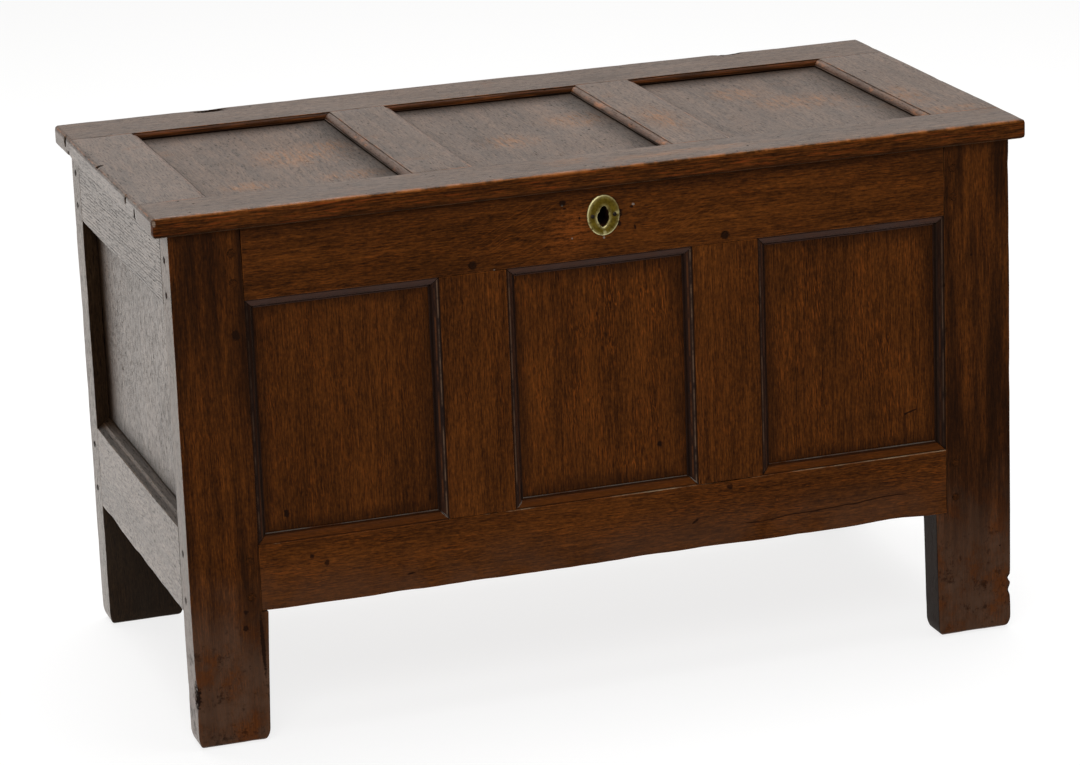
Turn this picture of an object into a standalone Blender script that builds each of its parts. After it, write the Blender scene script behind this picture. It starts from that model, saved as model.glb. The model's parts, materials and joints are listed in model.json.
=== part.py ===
"""A joined oak coffer: framed and panelled walls, a framed lid on iron hinges, and a chest lock.

Metres, +X to the right, +Y to the back, +Z up. The origin is on the floor under the middle.
"""

import math

import bmesh
import bpy
from mathutils import Matrix, Vector

# Carcase
CARCASE_WIDTH = 1.080
CARCASE_DEPTH = 0.534
CARCASE_HEIGHT = 0.6485
STILE_FLAT = 0.088
STILE_DEPTH = 0.043
BACK_STILE_WIDTH = 0.100
LEFT_LEG_WIDTH = 0.096
LEFT_FOOT_WIDTH = 0.089
RIGHT_LEG_WIDTH = 0.103
RIGHT_FOOT_WIDTH = 0.100
FOOT_ROUNDING = 0.004
RAIL_THICKNESS = 0.034
BOTTOM_RAIL_LOW = 0.168

# Front and back frames
FRONT_TOP_RAIL = 0.089
FRONT_BOTTOM_RAIL = 0.084
FRONT_MUNTIN = 0.085
FRONT_MOULDING = 0.012
FRONT_RECESS = 0.010
BACK_TOP_RAIL = 0.095
BACK_BOTTOM_RAIL = 0.095
BACK_MUNTIN = 0.090
BACK_RECESS = 0.011

# Middles of the muntins, as shares of half the carcase width
MUNTIN_LEFT_SHARE = -0.309
MUNTIN_RIGHT_SHARE = 0.294
LID_MUNTIN_LEFT_SHARE = -0.333
LID_MUNTIN_RIGHT_SHARE = 0.289

# End frames
SIDE_TOP_RAIL = 0.094
SIDE_BOTTOM_RAIL = 0.107
SIDE_MOULDING = 0.012
SIDE_RECESS = 0.018

# Lid
LID_THICKNESS = 0.025
LID_SIDE_OVERHANG = 0.020
LID_FRONT_OVERHANG = 0.010
LID_FRONT_RAIL = 0.079
LID_BACK_RAIL = 0.090
LID_LEFT_END = 0.082
LID_RIGHT_END = 0.095
LID_MUNTIN = 0.073
LID_MOULDING = 0.010
LID_RECESS = 0.008
LID_ROUNDING = 0.005

# Mouldings: the step under the arris, the fillet by the panel, and the facets of the quarter round
MOULDING_STEP = 0.0015
MOULDING_FILLET = 0.002
ROUND_FACETS = 4

# Panels and the grooves that hold them
PANEL_TONGUE = 0.006
PANEL_FIELD = 0.011
PANEL_BEVEL = 0.030
GROOVE_DEPTH = 0.008

# Tenons and the pegs through them
TENON_THICKNESS = 0.010
TENON_SET = 0.010
TENON_SHOULDER = 0.002
RAIL_TENON = 0.050
SIDE_TENON = 0.028
MUNTIN_TENON = 0.035
LID_TENON = 0.035
LID_TENON_THICKNESS = 0.008
PEG_RADIUS = 0.0045
PEG_LENGTH = 0.036
PEG_PROUD = 0.0005
PEG_SET = 0.012
TOP_PEG_LOW = 0.023
TOP_PEG_HIGH = 0.060
BOTTOM_PEG_LOW = 0.020
BOTTOM_PEG_HIGH = 0.066
MUNTIN_PEG_RISE = 0.0095

# Bottom boards
BOARD_COUNT = 4
BOARD_THICKNESS = 0.015
BOARD_RISE = 0.022
BOARD_GROOVE = 0.008

# Hinges
HINGE_INSET = 0.180
LEAF_WIDTH = 0.042
LEAF_THICKNESS = 0.0024
LID_LEAF_LENGTH = 0.075
BACK_LEAF_LENGTH = 0.070
KNUCKLE_RADIUS = 0.0048
HINGE_CLEARANCE = 0.0004
PIN_RADIUS = 0.0022

# Lock
LOCK_X = 0.0015
LOCK_WIDTH = 0.120
LOCK_HEIGHT = 0.066
LOCK_DEPTH = 0.016
LOCK_WALL = 0.004
CHANNEL_DEPTH = 0.0125
KEY_CHAMBER = 0.040
BOLT_DROP = 0.0195
BOLT_HEIGHT = 0.009
BOLT_LENGTH = 0.044
BOLT_HEAD = 0.0145
BOLT_HEAD_THICKNESS = 0.0045
BOLT_REST_GAP = 0.004
STAPLE_OFFSET = 0.028
STAPLE_THICKNESS = 0.005
STAPLE_WIDTH = 0.011
STAPLE_DROP = 0.0245
STAPLE_WIRE = 0.0024
STAPLE_BRIDGE = 0.0072
STAPLE_PLATE_WIDTH = 0.040
STAPLE_PLATE_DEPTH = 0.026
STAPLE_PLATE_THICKNESS = 0.0024
STAPLE_CLEARANCE = 0.0015

# Escutcheon
KEYHOLE_DROP = 0.036
KEYHOLE_TOP_RADIUS = 0.0045
KEYHOLE_FOOT_HALF_WIDTH = 0.007
KEYHOLE_FOOT_SAG = 0.0035
KEYHOLE_HEIGHT = 0.024
ESCUTCHEON_WIDTH = 0.042
ESCUTCHEON_HEIGHT = 0.051
ESCUTCHEON_THICKNESS = 0.002
ESCUTCHEON_CHAMFER = 0.0012
NAIL_SPREAD = 0.0142
NAIL_HEAD_RADIUS = 0.0026
NAIL_HEAD_RISE = 0.0012
NAIL_SHANK_RADIUS = 0.0011
NAIL_LENGTH = 0.014

# Gaps between touching pieces and at mitres, and how far a joined shape runs into its own member
GAP = 0.0003
MITRE_GAP = 0.0005
ROOT = 0.001

# Facets of a round bar and of a rounded arris, and the sharpest turn that is shaded smooth
ROUND_SIDES = 16
ARRIS_FACETS = 2
SMOOTH_TURN = math.radians(40)

# Places that follow from the sizes
HALF_WIDTH = CARCASE_WIDTH / 2
HALF_DEPTH = CARCASE_DEPTH / 2
MUNTIN_CENTRES = (HALF_WIDTH * MUNTIN_LEFT_SHARE, HALF_WIDTH * MUNTIN_RIGHT_SHARE)
LID_MUNTIN_CENTRES = (HALF_WIDTH * LID_MUNTIN_LEFT_SHARE, HALF_WIDTH * LID_MUNTIN_RIGHT_SHARE)
FRONT_TOP_LOW = CARCASE_HEIGHT - FRONT_TOP_RAIL
FRONT_BOTTOM_TOP = BOTTOM_RAIL_LOW + FRONT_BOTTOM_RAIL
BACK_TOP_LOW = CARCASE_HEIGHT - BACK_TOP_RAIL
BACK_BOTTOM_TOP = BOTTOM_RAIL_LOW + BACK_BOTTOM_RAIL
SIDE_TOP_LOW = CARCASE_HEIGHT - SIDE_TOP_RAIL
SIDE_BOTTOM_TOP = BOTTOM_RAIL_LOW + SIDE_BOTTOM_RAIL
SIDE_END = HALF_DEPTH - STILE_DEPTH
LID_BOTTOM = CARCASE_HEIGHT + GAP
LID_TOP = LID_BOTTOM + LID_THICKNESS
LID_HALF_WIDTH = HALF_WIDTH + LID_SIDE_OVERHANG
LID_FRONT = -HALF_DEPTH - LID_FRONT_OVERHANG
LID_BACK = HALF_DEPTH
GROOVE_WIDTH = PANEL_TONGUE + 2 * GAP
GROOVE_SHOULDER = GROOVE_DEPTH + TENON_SHOULDER
BOARD_LOW = BOTTOM_RAIL_LOW + BOARD_RISE
HINGE_Y = HALF_DEPTH + KNUCKLE_RADIUS + HINGE_CLEARANCE
HINGE_Z = LID_BOTTOM
HINGE_X = HALF_WIDTH - HINGE_INSET
LOCK_FRONT = RAIL_THICKNESS - LOCK_DEPTH
CHANNEL_BACK = LOCK_FRONT + GAP + CHANNEL_DEPTH
CHANNEL_MIDDLE = LOCK_FRONT + GAP + CHANNEL_DEPTH / 2
BOLT_LOW = CARCASE_HEIGHT - BOLT_DROP
STAPLE_X = LOCK_X + STAPLE_OFFSET
STAPLE_FOOT = LID_BOTTOM - STAPLE_DROP
KEYHOLE_Z = CARCASE_HEIGHT - KEYHOLE_DROP

# Finish of each kind of surface: colour, roughness, metallic
FINISHES = {
    "front oak": ((0.060, 0.020, 0.007, 1.0), 0.42, 0.0),
    "lid oak": ((0.110, 0.062, 0.036, 1.0), 0.34, 0.0),
    "side oak": ((0.100, 0.058, 0.034, 1.0), 0.36, 0.0),
    "inner oak": ((0.150, 0.090, 0.048, 1.0), 0.70, 0.0),
    "iron": ((0.045, 0.040, 0.036, 1.0), 0.60, 0.9),
    "brass": ((0.330, 0.235, 0.060, 1.0), 0.36, 1.0),
}

X_AXIS = Vector((1, 0, 0))
Y_AXIS = Vector((0, 1, 0))
Z_AXIS = Vector((0, 0, 1))


def face_frame(origin, u, v, depth):
    """Axes of one side seen from outside: u and v lie in the side, depth runs into the wood."""
    frame = Matrix((u, v, depth)).transposed().to_4x4()
    frame.translation = origin
    return frame


FRONT = face_frame((0, -HALF_DEPTH, 0), X_AXIS, Z_AXIS, Y_AXIS)
BACK = face_frame((0, HALF_DEPTH, 0), X_AXIS, Z_AXIS, -Y_AXIS)
LEFT = face_frame((-HALF_WIDTH, 0, 0), Y_AXIS, Z_AXIS, X_AXIS)
RIGHT = face_frame((HALF_WIDTH, 0, 0), Y_AXIS, Z_AXIS, -X_AXIS)
LID = face_frame((0, 0, LID_TOP), X_AXIS, Y_AXIS, -Z_AXIS)
HINGE = face_frame((0, HINGE_Y, HINGE_Z), Y_AXIS, Z_AXIS, X_AXIS)
WORLD = Matrix.Identity(4)


def clear_scene():
    for obj in list(bpy.data.objects):
        bpy.data.objects.remove(obj, do_unlink=True)


def new_collection(name):
    collection = bpy.data.collections.new(name)
    bpy.context.scene.collection.children.link(collection)
    return collection


def new_empty(name, place):
    empty = bpy.data.objects.new(name, None)
    empty.location = place
    PARTS.objects.link(empty)
    return empty


def new_material(name, finish):
    colour, roughness, metallic = FINISHES[finish]
    material = bpy.data.materials.new(name)
    material.use_nodes = True
    shader = material.node_tree.nodes["Principled BSDF"]
    shader.inputs["Base Color"].default_value = colour
    shader.inputs["Roughness"].default_value = roughness
    shader.inputs["Metallic"].default_value = metallic
    return material


def finished_mesh(name, bm, frame):
    """Carries a shape from its side's axes into the world, with its faces pointing out."""
    bmesh.ops.transform(bm, matrix=frame, verts=bm.verts)
    bmesh.ops.recalc_face_normals(bm, faces=bm.faces)
    mesh = bpy.data.meshes.new(name)
    bm.to_mesh(mesh)
    bm.free()
    return mesh


def part(name, bm, frame, finish, parent, origin=None):
    """Makes a sub-part from a shape. Its origin is its middle, unless it turns about another place."""
    mesh = finished_mesh(name, bm, frame)
    corners = [vertex.co for vertex in mesh.vertices]
    low = Vector(min(corner[axis] for corner in corners) for axis in range(3))
    high = Vector(max(corner[axis] for corner in corners) for axis in range(3))
    place = Vector(origin) if origin else (low + high) / 2
    mesh.transform(Matrix.Translation(-place))
    mesh.materials.append(new_material(name, finish))
    obj = bpy.data.objects.new(name, mesh)
    PARTS.objects.link(obj)
    obj.parent = parent
    obj.matrix_parent_inverse = Matrix.Translation(parent.location).inverted()
    obj.location = place
    return obj


def shade_round(obj):
    obj.data.shade_smooth()
    obj.data.set_sharp_from_angle(angle=SMOOTH_TURN)


def helper(name, bm, frame):
    """A shape that only cuts or extends another one."""
    obj = bpy.data.objects.new(name, finished_mesh(name, bm, frame))
    obj.hide_render = True
    obj.display_type = "WIRE"
    CUTTERS.objects.link(obj)
    return obj


def combine(obj, other, operation):
    modifier = obj.modifiers.new(operation.lower() + " " + other.name, "BOOLEAN")
    modifier.operation = operation
    modifier.solver = "EXACT"
    modifier.object = other


def join(obj, bm, frame):
    combine(obj, helper(obj.name + " extension", bm, frame), "UNION")


def cut(obj, bm, frame):
    combine(obj, helper(obj.name + " cutter", bm, frame), "DIFFERENCE")


def box(low, high):
    bm = bmesh.new()
    bmesh.ops.create_cube(bm, size=1.0)
    low, high = Vector(low), Vector(high)
    bmesh.ops.scale(bm, vec=high - low, verts=bm.verts)
    bmesh.ops.translate(bm, vec=(low + high) / 2, verts=bm.verts)
    return bm


def grown_box(low, high, margin):
    return box([value - margin for value in low], [value + margin for value in high])


def rod(centre, radius, low, high):
    """A round bar along depth."""
    bm = bmesh.new()
    bmesh.ops.create_cone(
        bm, cap_ends=True, segments=ROUND_SIDES, radius1=radius, radius2=radius, depth=high - low
    )
    bmesh.ops.translate(bm, vec=(*centre, (low + high) / 2), verts=bm.verts)
    return bm


def plate(outline, low, high):
    """A flat outline in u and v, thick from low to high along depth."""
    bm = bmesh.new()
    flat = bm.faces.new([bm.verts.new((u, v, low)) for u, v in outline])
    raised = bmesh.ops.extrude_face_region(bm, geom=[flat])["geom"]
    corners = [item for item in raised if isinstance(item, bmesh.types.BMVert)]
    bmesh.ops.translate(bm, vec=(0, 0, high - low), verts=corners)
    return bm


def rounded_edges(bm, radius, wanted):
    """Rounds the edges whose middle point the test wants."""
    edges = [e for e in bm.edges if wanted((e.verts[0].co + e.verts[1].co) / 2)]
    bmesh.ops.bevel(bm, geom=edges, offset=radius, segments=ARRIS_FACETS, profile=0.5, affect="EDGES")
    return bm


def quarter_round_line(width, recess):
    """Front line of a moulding, from the arris to the panel: a step, a quarter round, a fillet."""
    reach = width - MOULDING_FILLET
    drop = recess - 2 * MOULDING_STEP
    line = [(0.0, MOULDING_STEP)]
    for facet in range(1, ROUND_FACETS + 1):
        turn = math.pi / 2 * facet / ROUND_FACETS
        line.append((reach * math.sin(turn), MOULDING_STEP + drop * (1 - math.cos(turn))))
    return line + [(width, recess - MOULDING_STEP), (width, recess)]


def splayed_line(width, recess):
    """Front line of the end moulding: two sloping facets with a fillet between them."""
    half_width = (width - MOULDING_FILLET) / 2
    half_drop = recess / 2
    return [
        (0.0, MOULDING_STEP),
        (half_width, half_drop),
        (half_width + MOULDING_FILLET, half_drop),
        (width, recess - MOULDING_STEP),
        (width, recess),
    ]


def moulded_strip(line, thickness, start, along, toward, length, mitred=True):
    """A moulded edge with its panel groove. It runs along the member and stands toward the opening."""
    back = thickness - ROOT / 2
    width, recess = line[-1]
    floor = width - GROOVE_DEPTH
    groove_back = recess + GROOVE_WIDTH
    groove = [(floor, recess), (floor, groove_back), (width, groove_back)]
    section = line + groove + [(width, back), (0, back)]
    root = [(-ROOT, MOULDING_STEP), section[0], section[-1], (-ROOT, back)]
    bm = bmesh.new()
    corners = {point: bm.verts.new((0, *point)) for point in section + root}
    regions = [bm.faces.new([corners[point] for point in outline]) for outline in (section, root)]
    far_end = bmesh.ops.extrude_face_region(bm, geom=regions)["geom"]
    far_corners = {item for item in far_end if isinstance(item, bmesh.types.BMVert)}
    start, along, toward = Vector((*start, 0)), Vector((*along, 0)), Vector((*toward, 0))
    for vertex in bm.verts:
        _, away, depth = vertex.co
        inset = MITRE_GAP + (abs(away) if mitred else max(-away, 0.0))
        run = length - inset if vertex in far_corners else inset
        vertex.co = start + along * run + toward * away + Vector((0, 0, depth))
    return bm


def tenon(owner, socket, frame, low, high, axis, direction):
    """A tongue on the end of one member, and the mortise that takes it in another."""
    tongue_low, tongue_high = list(low), list(high)
    mouth_low, mouth_high = list(low), list(high)
    if direction > 0:
        tongue_low[axis] -= ROOT
        mouth_low[axis] -= ROOT
    else:
        tongue_high[axis] += ROOT
        mouth_high[axis] += ROOT
    join(owner, box(tongue_low, tongue_high), frame)
    cut(socket, grown_box(mouth_low, mouth_high, GAP), frame)


def panel(name, frame, low, high, recess, finish, parent):
    """A board whose thinned edges lie in the grooves, with its bevels on the hidden side."""
    front = recess + GAP
    bm = box((*low, front), (*high, front + PANEL_TONGUE))
    hidden = max(bm.faces, key=lambda face: face.calc_center_median().z)
    for margin in (GROOVE_DEPTH + ROOT, PANEL_BEVEL):
        bmesh.ops.inset_region(bm, faces=[hidden], thickness=margin, use_even_offset=True)
    bmesh.ops.translate(bm, vec=(0, 0, PANEL_FIELD - PANEL_TONGUE), verts=hidden.verts)
    return part(name, bm, frame, finish, parent)


def peg(name, frame, place, holed):
    """A drawbore peg, driven through the cheek of one member and the tenon of another."""
    for obj in holed:
        cut(obj, rod(place, PEG_RADIUS + GAP, -PEG_LENGTH, PEG_LENGTH + GAP), frame)
    pin = part(name, rod(place, PEG_RADIUS, -PEG_PROUD, PEG_LENGTH), frame, "front oak", CARCASE)
    shade_round(pin)


def openings(left, right, centres, width):
    """Clear spans between the outer members and two muntins."""
    half = width / 2
    first, second = centres
    return [(left, first - half), (first + half, second - half), (second + half, right)]


def stile(name, frame, outline):
    """A corner post, cut from its outline on the front or the back."""
    post = plate(outline, 0.0, STILE_DEPTH)
    rounded_edges(post, FOOT_ROUNDING, lambda middle: middle.y < GAP)
    return part(name, post, frame, "front oak", CARCASE)


def front_stile_outline(side, leg, foot):
    """A post that is wider in the leg, where no moulding narrows it, and tapers to the foot."""
    leg_top = BOTTOM_RAIL_LOW - GAP
    outer = side * HALF_WIDTH
    return [
        (outer, 0.0),
        (outer - side * foot, 0.0),
        (outer - side * leg, leg_top),
        (outer - side * STILE_FLAT, leg_top),
        (outer - side * STILE_FLAT, CARCASE_HEIGHT),
        (outer, CARCASE_HEIGHT),
    ]


def back_stile_outline(side):
    outer = side * HALF_WIDTH
    inner = outer - side * BACK_STILE_WIDTH
    return [(outer, 0.0), (inner, 0.0), (inner, CARCASE_HEIGHT), (outer, CARCASE_HEIGHT)]


def make_stiles():
    """The four posts, by side and by wall."""
    posts = {}
    for side, side_name, leg, foot in (
        (-1, "left", LEFT_LEG_WIDTH, LEFT_FOOT_WIDTH),
        (1, "right", RIGHT_LEG_WIDTH, RIGHT_FOOT_WIDTH),
    ):
        front_post = stile("front_" + side_name + "_stile", FRONT, front_stile_outline(side, leg, foot))
        moulding = moulded_strip(
            quarter_round_line(FRONT_MOULDING, FRONT_RECESS),
            STILE_DEPTH,
            (side * (HALF_WIDTH - STILE_FLAT), FRONT_BOTTOM_TOP),
            (0, 1),
            (-side, 0),
            FRONT_TOP_LOW - FRONT_BOTTOM_TOP,
        )
        join(front_post, moulding, FRONT)
        back_post = stile("back_" + side_name + "_stile", BACK, back_stile_outline(side))
        posts[side] = {-1: front_post, 1: back_post}
    return posts


def wall_rail(name, frame, finish, end, low, high):
    """A rail of the carcase from one post to the other."""
    return part(name, box((-end, low, 0), (end, high, RAIL_THICKNESS)), frame, finish, CARCASE)


def rail_tenons(rail, left_post, right_post, frame, end, low, high, length, tenon_set):
    """Tenons on both ends of a rail."""
    back = tenon_set + TENON_THICKNESS
    for side, post in ((-1, left_post), (1, right_post)):
        near, far = sorted((side * end, side * (end + length)))
        tenon(
            rail,
            post,
            frame,
            (near, low + GROOVE_SHOULDER, tenon_set),
            (far, high - GROOVE_SHOULDER, back),
            0,
            side,
        )


def muntin_tenons(muntin, low_rail, high_rail, frame, centre, half, low, high, along, length, cheeks):
    """Tenons on both ends of a muntin, or of an end piece of the lid."""
    front, back = cheeks
    for rail, near, far, direction in (
        (low_rail, low - length, low, -1),
        (high_rail, high, high + length, 1),
    ):
        low_corner = (centre - half, near, front)
        high_corner = (centre + half, far, back)
        tenon(muntin, rail, frame, low_corner, high_corner, along, direction)


def make_front(posts):
    """Front frame: two rails, two muntins and three panels, moulded and mitred round each panel."""
    line = quarter_round_line(FRONT_MOULDING, FRONT_RECESS)
    inner = HALF_WIDTH - STILE_FLAT
    end = inner - GAP
    centres = MUNTIN_CENTRES
    spans = openings(-inner, inner, centres, FRONT_MUNTIN)
    top = wall_rail("front_top_rail", FRONT, "front oak", end, FRONT_TOP_LOW, CARCASE_HEIGHT)
    bottom = wall_rail("front_bottom_rail", FRONT, "front oak", end, BOTTOM_RAIL_LOW, FRONT_BOTTOM_TOP)
    for left, right in spans:
        run = right - left
        high_edge = moulded_strip(line, RAIL_THICKNESS, (left, FRONT_TOP_LOW), (1, 0), (0, -1), run)
        low_edge = moulded_strip(line, RAIL_THICKNESS, (left, FRONT_BOTTOM_TOP), (1, 0), (0, 1), run)
        join(top, high_edge, FRONT)
        join(bottom, low_edge, FRONT)
    left_post, right_post = posts[-1][-1], posts[1][-1]
    for rail, low, high in (
        (top, FRONT_TOP_LOW, CARCASE_HEIGHT),
        (bottom, BOTTOM_RAIL_LOW, FRONT_BOTTOM_TOP),
    ):
        rail_tenons(rail, left_post, right_post, FRONT, end, low, high, RAIL_TENON, TENON_SET)
    low, high = FRONT_BOTTOM_TOP + GAP, FRONT_TOP_LOW - GAP
    cheeks = (TENON_SET, TENON_SET + TENON_THICKNESS)
    for centre, side_name in zip(centres, ("left", "right")):
        half = FRONT_MUNTIN / 2
        shape = box((centre - half, low, 0), (centre + half, high, RAIL_THICKNESS))
        muntin = part("front_" + side_name + "_muntin", shape, FRONT, "front oak", CARCASE)
        for side in (-1, 1):
            corner = (centre + side * half, FRONT_BOTTOM_TOP)
            run = FRONT_TOP_LOW - FRONT_BOTTOM_TOP
            join(muntin, moulded_strip(line, RAIL_THICKNESS, corner, (0, 1), (side, 0), run), FRONT)
        half -= GROOVE_SHOULDER
        muntin_tenons(muntin, bottom, top, FRONT, centre, half, low, high, 1, MUNTIN_TENON, cheeks)
        peg_place = (centre, FRONT_TOP_LOW + MUNTIN_PEG_RISE)
        peg("front_" + side_name + "_muntin_peg", FRONT, peg_place, (top, muntin))
    inset = FRONT_MOULDING - GROOVE_DEPTH + GAP
    for (left, right), place in zip(spans, ("left", "middle", "right")):
        corner_low = (left + inset, FRONT_BOTTOM_TOP + inset)
        corner_high = (right - inset, FRONT_TOP_LOW - inset)
        name = "front_" + place + "_panel"
        panel(name, FRONT, corner_low, corner_high, FRONT_RECESS, "front oak", CARCASE)
    for side, side_name in ((-1, "left"), (1, "right")):
        place = side * (inner + PEG_SET)
        for rail, rail_name, heights in (
            (top, "top", (FRONT_TOP_LOW + TOP_PEG_LOW, FRONT_TOP_LOW + TOP_PEG_HIGH)),
            (bottom, "bottom", (BOTTOM_RAIL_LOW + BOTTOM_PEG_LOW, BOTTOM_RAIL_LOW + BOTTOM_PEG_HIGH)),
        ):
            for level, height in zip(("lower", "upper"), heights):
                name = "_".join((side_name, rail_name, "rail", level, "peg"))
                peg(name, FRONT, (place, height), (posts[side][-1], rail))
    return top, bottom


def make_back(posts):
    """Back frame: plain rails, muntins and panels."""
    inner = HALF_WIDTH - BACK_STILE_WIDTH
    end = inner - GAP
    centres = MUNTIN_CENTRES
    groove_back = BACK_RECESS + GROOVE_WIDTH
    top = wall_rail("back_top_rail", BACK, "inner oak", end, BACK_TOP_LOW, CARCASE_HEIGHT)
    bottom = wall_rail("back_bottom_rail", BACK, "inner oak", end, BOTTOM_RAIL_LOW, BACK_BOTTOM_TOP)
    for rail, low, high in (
        (top, BACK_TOP_LOW - ROOT, BACK_TOP_LOW + GROOVE_DEPTH),
        (bottom, BACK_BOTTOM_TOP - GROOVE_DEPTH, BACK_BOTTOM_TOP + ROOT),
    ):
        cut(rail, box((-inner, low, BACK_RECESS), (inner, high, groove_back)), BACK)
    left_post, right_post = posts[-1][1], posts[1][1]
    for rail, low, high in (
        (top, BACK_TOP_LOW, CARCASE_HEIGHT),
        (bottom, BOTTOM_RAIL_LOW, BACK_BOTTOM_TOP),
    ):
        rail_tenons(rail, left_post, right_post, BACK, end, low, high, RAIL_TENON, TENON_SET)
    groove_low, groove_high = BACK_BOTTOM_TOP - GROOVE_DEPTH, BACK_TOP_LOW + GROOVE_DEPTH
    for side, post in ((-1, left_post), (1, right_post)):
        near, far = sorted((side * (inner - ROOT), side * (inner + GROOVE_DEPTH)))
        cut(post, box((near, groove_low, BACK_RECESS), (far, groove_high, groove_back)), BACK)
    low, high = BACK_BOTTOM_TOP + GAP, BACK_TOP_LOW - GAP
    cheeks = (TENON_SET, TENON_SET + TENON_THICKNESS)
    for centre, side_name in zip(centres, ("left", "right")):
        half = BACK_MUNTIN / 2
        shape = box((centre - half, low, 0), (centre + half, high, RAIL_THICKNESS))
        muntin = part("back_" + side_name + "_muntin", shape, BACK, "inner oak", CARCASE)
        for side in (-1, 1):
            near, far = sorted((centre + side * (half - GROOVE_DEPTH), centre + side * (half + ROOT)))
            groove = box((near, low - ROOT, BACK_RECESS), (far, high + ROOT, groove_back))
            cut(muntin, groove, BACK)
        half -= GROOVE_SHOULDER
        muntin_tenons(muntin, bottom, top, BACK, centre, half, low, high, 1, MUNTIN_TENON, cheeks)
    reach = GROOVE_DEPTH - GAP
    spans = openings(-inner, inner, centres, BACK_MUNTIN)
    for (left, right), place in zip(spans, ("left", "middle", "right")):
        corner_low = (left - reach, BACK_BOTTOM_TOP - reach)
        corner_high = (right + reach, BACK_TOP_LOW + reach)
        name = "back_" + place + "_panel"
        panel(name, BACK, corner_low, corner_high, BACK_RECESS, "inner oak", CARCASE)
    return top, bottom


def make_end(side_name, frame, posts):
    """End frame: a plain top rail, a splayed bottom rail and one deeply set panel."""
    end = SIDE_END - GAP
    groove_back = SIDE_RECESS + GROOVE_WIDTH
    rail_names = (side_name + "_top_rail", side_name + "_bottom_rail")
    top = wall_rail(rail_names[0], frame, "side oak", end, SIDE_TOP_LOW, CARCASE_HEIGHT)
    bottom = wall_rail(rail_names[1], frame, "side oak", end, BOTTOM_RAIL_LOW, SIDE_BOTTOM_TOP)
    groove_low = (-SIDE_END, SIDE_TOP_LOW - ROOT, SIDE_RECESS)
    groove_high = (SIDE_END, SIDE_TOP_LOW + GROOVE_DEPTH, groove_back)
    cut(top, box(groove_low, groove_high), frame)
    line = splayed_line(SIDE_MOULDING, SIDE_RECESS)
    corner = (-SIDE_END, SIDE_BOTTOM_TOP)
    splay = moulded_strip(line, RAIL_THICKNESS, corner, (1, 0), (0, 1), 2 * SIDE_END, mitred=False)
    join(bottom, splay, frame)
    for rail, low, high in (
        (top, SIDE_TOP_LOW, CARCASE_HEIGHT),
        (bottom, BOTTOM_RAIL_LOW, SIDE_BOTTOM_TOP),
    ):
        rail_tenons(rail, posts[-1], posts[1], frame, end, low, high, SIDE_TENON, SIDE_RECESS)
    panel_low = SIDE_BOTTOM_TOP + SIDE_MOULDING - GROOVE_DEPTH
    panel_high = SIDE_TOP_LOW + GROOVE_DEPTH
    for depth_side, post in posts.items():
        near, far = sorted((depth_side * (SIDE_END - ROOT), depth_side * (SIDE_END + GROOVE_DEPTH)))
        cut(post, box((near, panel_low, SIDE_RECESS), (far, panel_high, groove_back)), frame)
    reach = SIDE_END + GROOVE_DEPTH - GAP
    corner_low, corner_high = (-reach, panel_low + GAP), (reach, panel_high - GAP)
    panel(side_name + "_panel", frame, corner_low, corner_high, SIDE_RECESS, "side oak", CARCASE)
    return bottom


def make_bottom(front_rail, back_rail, left_rail, right_rail):
    """Boards from front to back, let into grooves in the bottom rails and notched round the posts."""
    groove_low, groove_high = BOARD_LOW - GAP, BOARD_LOW + BOARD_THICKNESS + GAP
    groove_front, groove_back = RAIL_THICKNESS - BOARD_GROOVE, RAIL_THICKNESS + ROOT
    for rail, frame, half in (
        (front_rail, FRONT, HALF_WIDTH - STILE_FLAT),
        (back_rail, BACK, HALF_WIDTH - BACK_STILE_WIDTH),
        (left_rail, LEFT, SIDE_END),
        (right_rail, RIGHT, SIDE_END),
    ):
        cut(rail, box((-half, groove_low, groove_front), (half, groove_high, groove_back)), frame)
    reach_x = HALF_WIDTH - RAIL_THICKNESS + BOARD_GROOVE - GAP
    reach_y = HALF_DEPTH - RAIL_THICKNESS + BOARD_GROOVE - GAP
    pitch = (2 * reach_x + GAP) / BOARD_COUNT
    boards = []
    for index in range(BOARD_COUNT):
        left = -reach_x + index * pitch
        low = (left, -reach_y, BOARD_LOW)
        high = (left + pitch - GAP, reach_y, BOARD_LOW + BOARD_THICKNESS)
        boards.append(part("bottom_board_" + str(index + 1), box(low, high), WORLD, "inner oak", CARCASE))
    for board, side in ((boards[0], -1), (boards[-1], 1)):
        for depth_side, width in ((-1, STILE_FLAT), (1, BACK_STILE_WIDTH)):
            xs = sorted((side * (HALF_WIDTH - width), side * HALF_WIDTH))
            ys = sorted((depth_side * SIDE_END, depth_side * HALF_DEPTH))
            low = (xs[0], ys[0], BOARD_LOW - ROOT)
            high = (xs[1], ys[1], BOARD_LOW + BOARD_THICKNESS + ROOT)
            cut(board, grown_box(low, high, GAP), WORLD)


def lid_bar(name, low, high):
    """A member of the lid frame. Its arrises on the lid's ends and front are rounded."""
    near_joint, far_joint = low[1] + GAP, high[1] - GAP

    def shown(middle):
        on_front = abs(middle.y - LID_FRONT) < GAP
        on_back = abs(middle.y - LID_BACK) < GAP
        on_end = abs(abs(middle.x) - LID_HALF_WIDTH) < GAP
        at_joint = not (near_joint < middle.y < far_joint)
        return on_front or (on_end and (on_back or not at_joint))

    shape = box((*low, 0), (*high, LID_THICKNESS))
    return part(name, rounded_edges(shape, LID_ROUNDING, shown), LID, "lid oak", LID_AXIS)


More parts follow.
